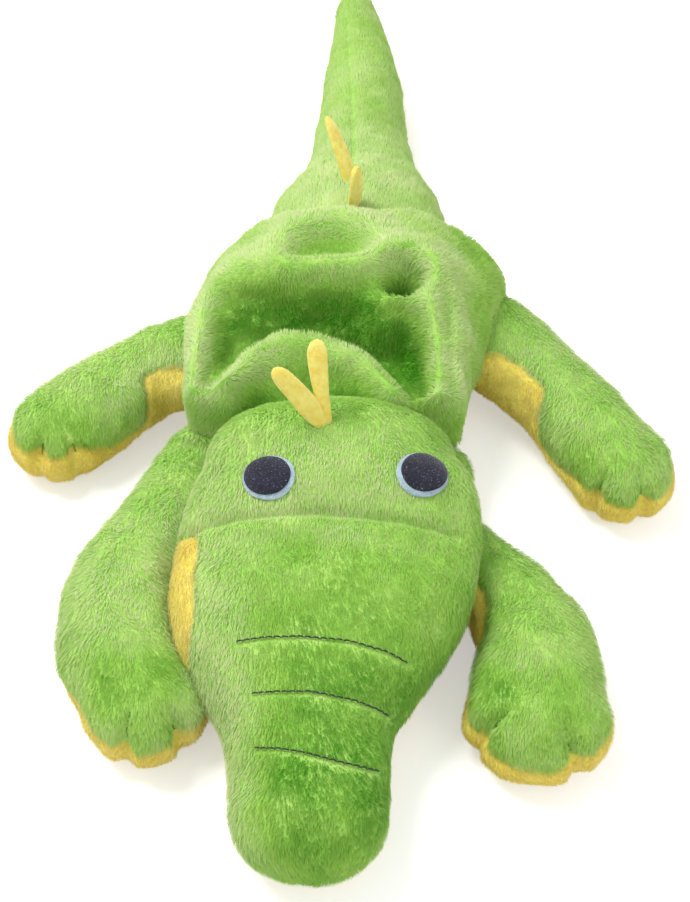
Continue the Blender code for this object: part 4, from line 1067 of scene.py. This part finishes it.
def plain_finish(name, dark, pale, scale, roughness, glint_specks=None):
    """Felt or thread between two near colours, with fine pale specks of another colour where wanted, painted
    glints on its fibres.
    """
    stops = ((0.35, dark), (0.65, pale))
    mat = fabric(name, stops, scale, roughness, FELT_SHEEN, FELT_BUMP, FELT_GRAIN)
    if glint_specks:
        tree = mat.node_tree
        colour = tree.nodes["Principled BSDF"].inputs["Base Color"]
        pick = ramp(tree, grain(tree, FIBRE_GRAIN, 2.0), ((0.62, BLACK), (0.72, WHITE)))
        mixed = add_node(tree, "Mix", {"Factor": pick, "A": colour.links[0].from_socket, "B": glint_specks},
                         data_type="RGBA")
        tree.links.new(mixed["Result"], colour)
    return mat


YELLOW_FELT = plain_finish("yellow_felt_finish", linear(246, 220, 92), linear(255, 242, 136), 260.0, 0.9)
# the black felt's pale specks are painted glints
BLACK_FELT = plain_finish("black_felt_finish", linear(24, 25, 36), linear(40, 41, 58), 500.0, 0.85,
                          linear(120, 125, 150))
BLUE_FELT = plain_finish("blue_felt_finish", linear(158, 182, 200), linear(190, 208, 220), 500.0, 0.85)
THREAD = plain_finish("dark_thread_finish", linear(20, 42, 18), linear(34, 66, 28), 900.0, 0.6)
TOE_THREAD = plain_finish("toe_thread_finish", linear(92, 132, 42), linear(112, 152, 56), 900.0, 0.7)

OVAL_RINGS, OVAL_SIDES, OVAL_WOBBLE, OVAL_SINK, RIM_ROUND = 9, 56, 0.018, 0.9, 0.25


def felt_oval(name, centre, normal, lookup, radius, shift, lift, thickness, material, seed):
    """Felt oval sewn on the pile: it follows the skin, domed, its edge pressed into the pile."""
    up = Vector(normal).normalized()
    across = (Vector((1.0, 0.0, 0.0)) - up * up.x).normalized()
    ahead = up.cross(across)
    rings, sides = OVAL_RINGS, OVAL_SIDES
    rows = []
    for ring in range(rings + 1):
        share = ring / rings
        row = []
        for i in range(sides):
            turn = FULL_TURN * i / sides
            wave = noise.noise(Vector((math.cos(turn) * 1.5, math.sin(turn) * 1.5, seed)))
            reach = radius * share * (1.0 + OVAL_WOBBLE * wave)
            x = reach * math.cos(turn) + shift[0]
            y = reach * EYE_TALL * math.sin(turn) + shift[1]
            place = centre + across * (x * MM) + ahead * (y * MM)
            hit = lookup.ray_cast(place + up * 0.02, -up)[0] or place
            row.append((hit, lift - OVAL_SINK * share ** 4))
        rows.append(row)
    points, faces = [], []
    for level in (thickness, 0.0):
        for row in rows[1:]:
            rim = RIM_ROUND if row is rows[-1] and level else 0.0
            points += [hit + up * ((height + level - rim) * MM) for hit, height in row]
        points.append(rows[0][0][0] + up * ((rows[0][0][1] + level) * MM))
    layer = rings * sides + 1
    rim = (rings - 1) * sides
    for i in range(sides):
        j = (i + 1) % sides
        for base, turned in ((0, 1), (layer, -1)):
            faces.append((base + layer - 1, base + i, base + j)[::turned])
            for low in range(base, base + rim, sides):
                faces.append((low + i, low + sides + i, low + sides + j, low + j)[::turned])
        faces.append((rim + i, layer + rim + i, layer + rim + j, rim + j))
    obj = mesh_object(name, points, faces, material)
    obj.data.set_sharp_from_angle(angle=FELT_ANGLE)
    return obj


def tube_faces(rings, sides):
    """Faces of a tube of rings, with a cap at each end."""
    faces = []
    for low in range(0, (rings - 1) * sides, sides):
        for k in range(sides):
            m = (k + 1) % sides
            faces.append((low + k, low + m, low + sides + m, low + sides + k))
    faces.append(tuple(range(sides))[::-1])
    faces.append(tuple(range((rings - 1) * sides, rings * sides)))
    return faces


def tube(path, radius, sides=8):
    """Closed tube along a path, its ends rounded."""
    points = []
    for i, p in enumerate(path):
        way = path[min(i + 1, len(path) - 1)] - path[max(i - 1, 0)]
        way = way / max(np.linalg.norm(way), 1e-12)
        side = np.cross(way, (0.0, 0.0, 1.0))
        side /= max(np.linalg.norm(side), 1e-9)
        over = np.cross(side, way)
        size = radius * (TUBE_END_SHARE if i in (0, len(path) - 1) else 1.0)
        for k in range(sides):
            turn = FULL_TURN * k / sides
            points.append(p + side * size * math.cos(turn) + over * size * math.sin(turn))
    return points, tube_faces(len(path), sides)


def resampled(path, step):
    """The path's points at even steps in millimetres."""
    path = np.array(path)
    lengths = np.concatenate([[0.0], np.cumsum(norms(np.diff(path, axis=0)))]) / MM
    places = np.arange(0.0, lengths[-1], step)
    return np.stack([np.interp(places, lengths, path[:, k]) for k in range(3)], axis=1)


TUBE_END_SHARE, STITCH_STEPS, STITCH_DIP, STITCH_WANDER = 0.55, 10, 1.1, 0.12


def stitch_row(name, path, lookup, pitch, share, radius, lift, material):
    """Row of separate stitches that dip into the pile at both ends."""
    fine = resampled(path, pitch / STITCH_STEPS)
    count = round(STITCH_STEPS * share)
    points, faces = [], []
    for start in range(0, len(fine) - STITCH_STEPS, STITCH_STEPS):
        stitch = []
        for i in range(count + 1):
            hit, normal, _, _ = lookup.find_nearest(Vector(fine[start + i]))
            rise = lift - STITCH_DIP * abs(2.0 * i / count - 1.0) ** 3
            wander = STITCH_WANDER * noise.noise(Vector((start * 0.7, i * 0.1, 3.0)))
            stitch.append(np.array(hit + normal * (rise * MM)) + np.array((0.0, wander * MM, 0.0)))
        more, sides = tube(stitch, radius * MM)
        faces += [tuple(len(points) + k for k in face) for face in sides]
        points += more
    return mesh_object(name, points, faces, material)


BLADE_RINGS, BLADE_SIDES, BLADE_TIP_SHARE, BLADE_LUMP, BLADE_THINNEST = 36, 24, 0.16, 0.25, 0.05


def felt_blade(name, root, tip, facing, half_widths, thickness, bow, sway, material):
    """Soft felt blade, rounded at its tip, bowed out of its plane and swaying in it."""
    root, tip = Vector(root), Vector(tip)
    axis = (tip - root).normalized()
    side = axis.cross(Vector(facing)).normalized()
    out = side.cross(axis)
    length = (tip - root).length
    points = []
    for i in range(BLADE_RINGS + 1):
        share = i / BLADE_RINGS
        width = along(half_widths, share)
        if share > 1.0 - BLADE_TIP_SHARE:
            width *= math.sqrt(max(1.0 - ((share - 1.0 + BLADE_TIP_SHARE) / BLADE_TIP_SHARE) ** 2, 0.0))
        thick = thickness * 0.5 * min(1.0, 0.35 + width / half_widths[1][1])
        lump = BLADE_LUMP * noise.noise(Vector((share * 4.0, length, 1.0)))
        centre = root + axis * (length * share) + out * (bow * math.sin(math.pi * share) + lump)
        centre += side * (sway * math.sin(math.pi * share))
        for k in range(BLADE_SIDES):
            turn = FULL_TURN * k / BLADE_SIDES
            cos, sin = math.cos(turn), math.sin(turn)
            x = math.copysign(abs(cos) ** 0.75, cos) * max(width, BLADE_THINNEST)
            y = math.copysign(abs(sin) ** 0.75, sin) * max(thick, BLADE_THINNEST)
            points.append((centre + side * x + out * y) * MM)
    points = np.array(points)
    faces = outward(points, tube_faces(BLADE_RINGS + 1, BLADE_SIDES))
    return mesh_object(name, points, faces, material)


RING_SHIFTS = {"left": (0.4, -0.4), "right": (-0.4, -0.5)}
RING_WIDTH, EYE_LIFT, FELT_GAP, EYE_SEEDS = 1.3, 1.5, 0.05, {"left": 3.0, "right": 8.0}
# Pitch, share that shows, thread radius and height over the skin
SNOUT_STITCH, TOE_STITCH = (3.1, 0.86, 0.34, 1.4), (7.0, 0.96, 0.28, -0.3)
for side, (hit, normal) in EYES.items():
    spots = [hit + Vector((dx, dy, 0.0)) * MM for dx in (-7, 0, 7) for dy in (-6, 0, 6)]
    mean = sum((head_tree.find_nearest(spot)[1] for spot in spots), Vector())
    ring = felt_oval(side + "_eye_felt_ring", hit, mean, head_tree, EYE_RADIUS + RING_WIDTH,
                     RING_SHIFTS[side], EYE_LIFT, EYE_FELT, BLUE_FELT, EYE_SEEDS[side])
    dress(ring, "head", "blue_felt", side + "_eye_ring")
    disc = felt_oval(side + "_eye_felt_disc", hit, mean, head_tree, EYE_RADIUS, (0.0, 0.0),
                     EYE_LIFT + EYE_FELT + FELT_GAP, EYE_FELT, BLACK_FELT, EYE_SEEDS[side] + 1.0)
    dress(disc, "head", "black_felt", side + "_eye_disc")

for index, path in enumerate(stitch_paths):
    row = stitch_row(f"snout_stitches_{index + 1}", path, head_tree, *SNOUT_STITCH, THREAD)
    dress(row, "head", "dark_thread", f"snout_stitch_row_{index + 1}")

for leg_name, paths in toe_paths.items():
    body = leg_name + "_leg"
    for index, path in enumerate(paths):
        label = f"{leg_name}_toe_stitches_{index + 1}"
        row = stitch_row(label, path, trees[body][2], *TOE_STITCH, TOE_THREAD)
        dress(row, body, "dark_thread", f"{leg_name}_toe_thread_{index + 1}")

# Name, body, root, tip, facing, half widths by share of the length, thickness, bow and sway
BLADES = (
    ("neck_spike_left", "head", (-8, -77, 74), (-29.5, -72, 107), (0, -0.64, 0.77), ((0, 2.2), (0.35, 4.6),
     (0.7, 4.4), (1, 3.6)), 3.6, 1.2, 0.8),
    ("neck_spike_right", "head", (-7, -76, 74), (-12, -59, 111), (0, -0.64, 0.77), ((0, 2), (0.35, 3),
     (0.7, 4.1), (1, 4.4)), 3.6, 1.4, -0.9),
    ("tail_spike_front", "tail", (4, 70, 66), (5.4, 72.5, 93), (0.8, -0.6, 0), ((0, 4.8), (0.4, 4.8),
     (0.75, 4), (1, 2.4)), 3.6, 0.6, 0),
    ("tail_spike_rear", "tail", (4.6, 89, 61), (-9, 106.5, 96), (0.8, -0.6, 0.2), ((0, 4.8), (0.4, 4.6),
     (0.75, 3.6), (1, 2.2)), 3.4, 0.8, 0.6),
)
for name, body, root, tip, facing, widths, thickness, bow, sway in BLADES:
    label = name.replace("spike", "felt_spike")
    blade = felt_blade(label, root, tip, facing, widths, thickness, bow, sway, YELLOW_FELT)
    dress(blade, body, "yellow_felt", name)


# Stage

FLOOR_GREY, FLOOR_GLOW, FLOOR_REACH, FLOOR_GAP, ROOM_LIGHT = (0.82, 0.82, 0.82, 1.0), 0.42, 4.0, 0.3, 0.68


def highest(tree, value, *others):
    """Highest of some values."""
    for other in others:
        value = add_node(tree, "Math", {0: value, 1: other}, operation="MAXIMUM")["Value"]
    return value


def floor_material():
    """Pale floor that the camera sees a little brighter, so that it goes white but keeps its shadow."""
    mat, tree, shader = new_material("floor_white")
    feed(tree, shader, {"Base Color": FLOOR_GREY, "Roughness": 0.9, "Specular IOR Level": 0.0})
    ray = add_node(tree, "LightPath")
    seen = highest(tree, ray["Is Camera Ray"], ray["Is Glossy Ray"], ray["Is Transmission Ray"])
    level = add_node(tree, "Math", {0: seen, 1: FLOOR_GLOW}, operation="MULTIPLY")["Value"]
    glow = add_node(tree, "Emission", {"Color": WHITE, "Strength": level})["Emission"]
    both = add_node(tree, "AddShader", {0: shader.outputs["BSDF"], 1: glow})["Shader"]
    feed(tree, tree.nodes["Material Output"], {"Surface": both})
    return mat


corners = [(x * FLOOR_REACH, y * FLOOR_REACH, 0.0) for x, y in ((-1, -1), (1, -1), (1, 1), (-1, 1))]
floor = mesh_object("floor", corners, [(0, 1, 2, 3)], floor_material())
floor.location.z = -FLOOR_GAP * MM

world = bpy.data.worlds.new("soft_room")
bpy.context.scene.world = world
world.use_nodes = True
tree = world.node_tree
room = tree.nodes["Background"]
feed(tree, room, {"Color": WHITE, "Strength": ROOM_LIGHT})
white = add_node(tree, "Background", {"Color": WHITE, "Strength": 1.0})["Background"]
ray = add_node(tree, "LightPath")
seen = highest(tree, ray["Is Camera Ray"], ray["Is Glossy Ray"])
shown = add_node(tree, "MixShader", {"Fac": seen, 1: room.outputs["Background"], 2: white})["Shader"]
feed(tree, tree.nodes["World Output"], {"Surface": shown})


def softbox(name, place, target, size, power):
    """Square area lamp that faces a point."""
    lamp = bpy.data.lights.new(name, "AREA")
    lamp.energy, lamp.size = power, size
    obj = linked(name, lamp)
    obj.location = place
    obj.rotation_euler = (Vector(target) - Vector(place)).to_track_quat("-Z", "Y").to_euler()


LIT_PLACE = (0.0, 0.0, 0.03)
softbox("key_light", (-0.8, 0.4, 1.7), LIT_PLACE, 0.8, 28.0)
softbox("fill_light", (1.2, -1.2, 1.2), LIT_PLACE, 1.2, 8.0)

lens = bpy.data.cameras.new("view")
lens.sensor_fit = "VERTICAL"
lens.sensor_height = 32.0
lens.lens = FOCAL_PIXELS * lens.sensor_height / FRAME_HEIGHT
camera = linked("view", lens)
camera.location = CAMERA_PLACE
camera.rotation_euler = (math.pi / 2.0 - CAMERA_PITCH, 0.0, 0.0)
bpy.context.scene.camera = camera

bpy.context.scene.view_settings.view_transform = "Standard"
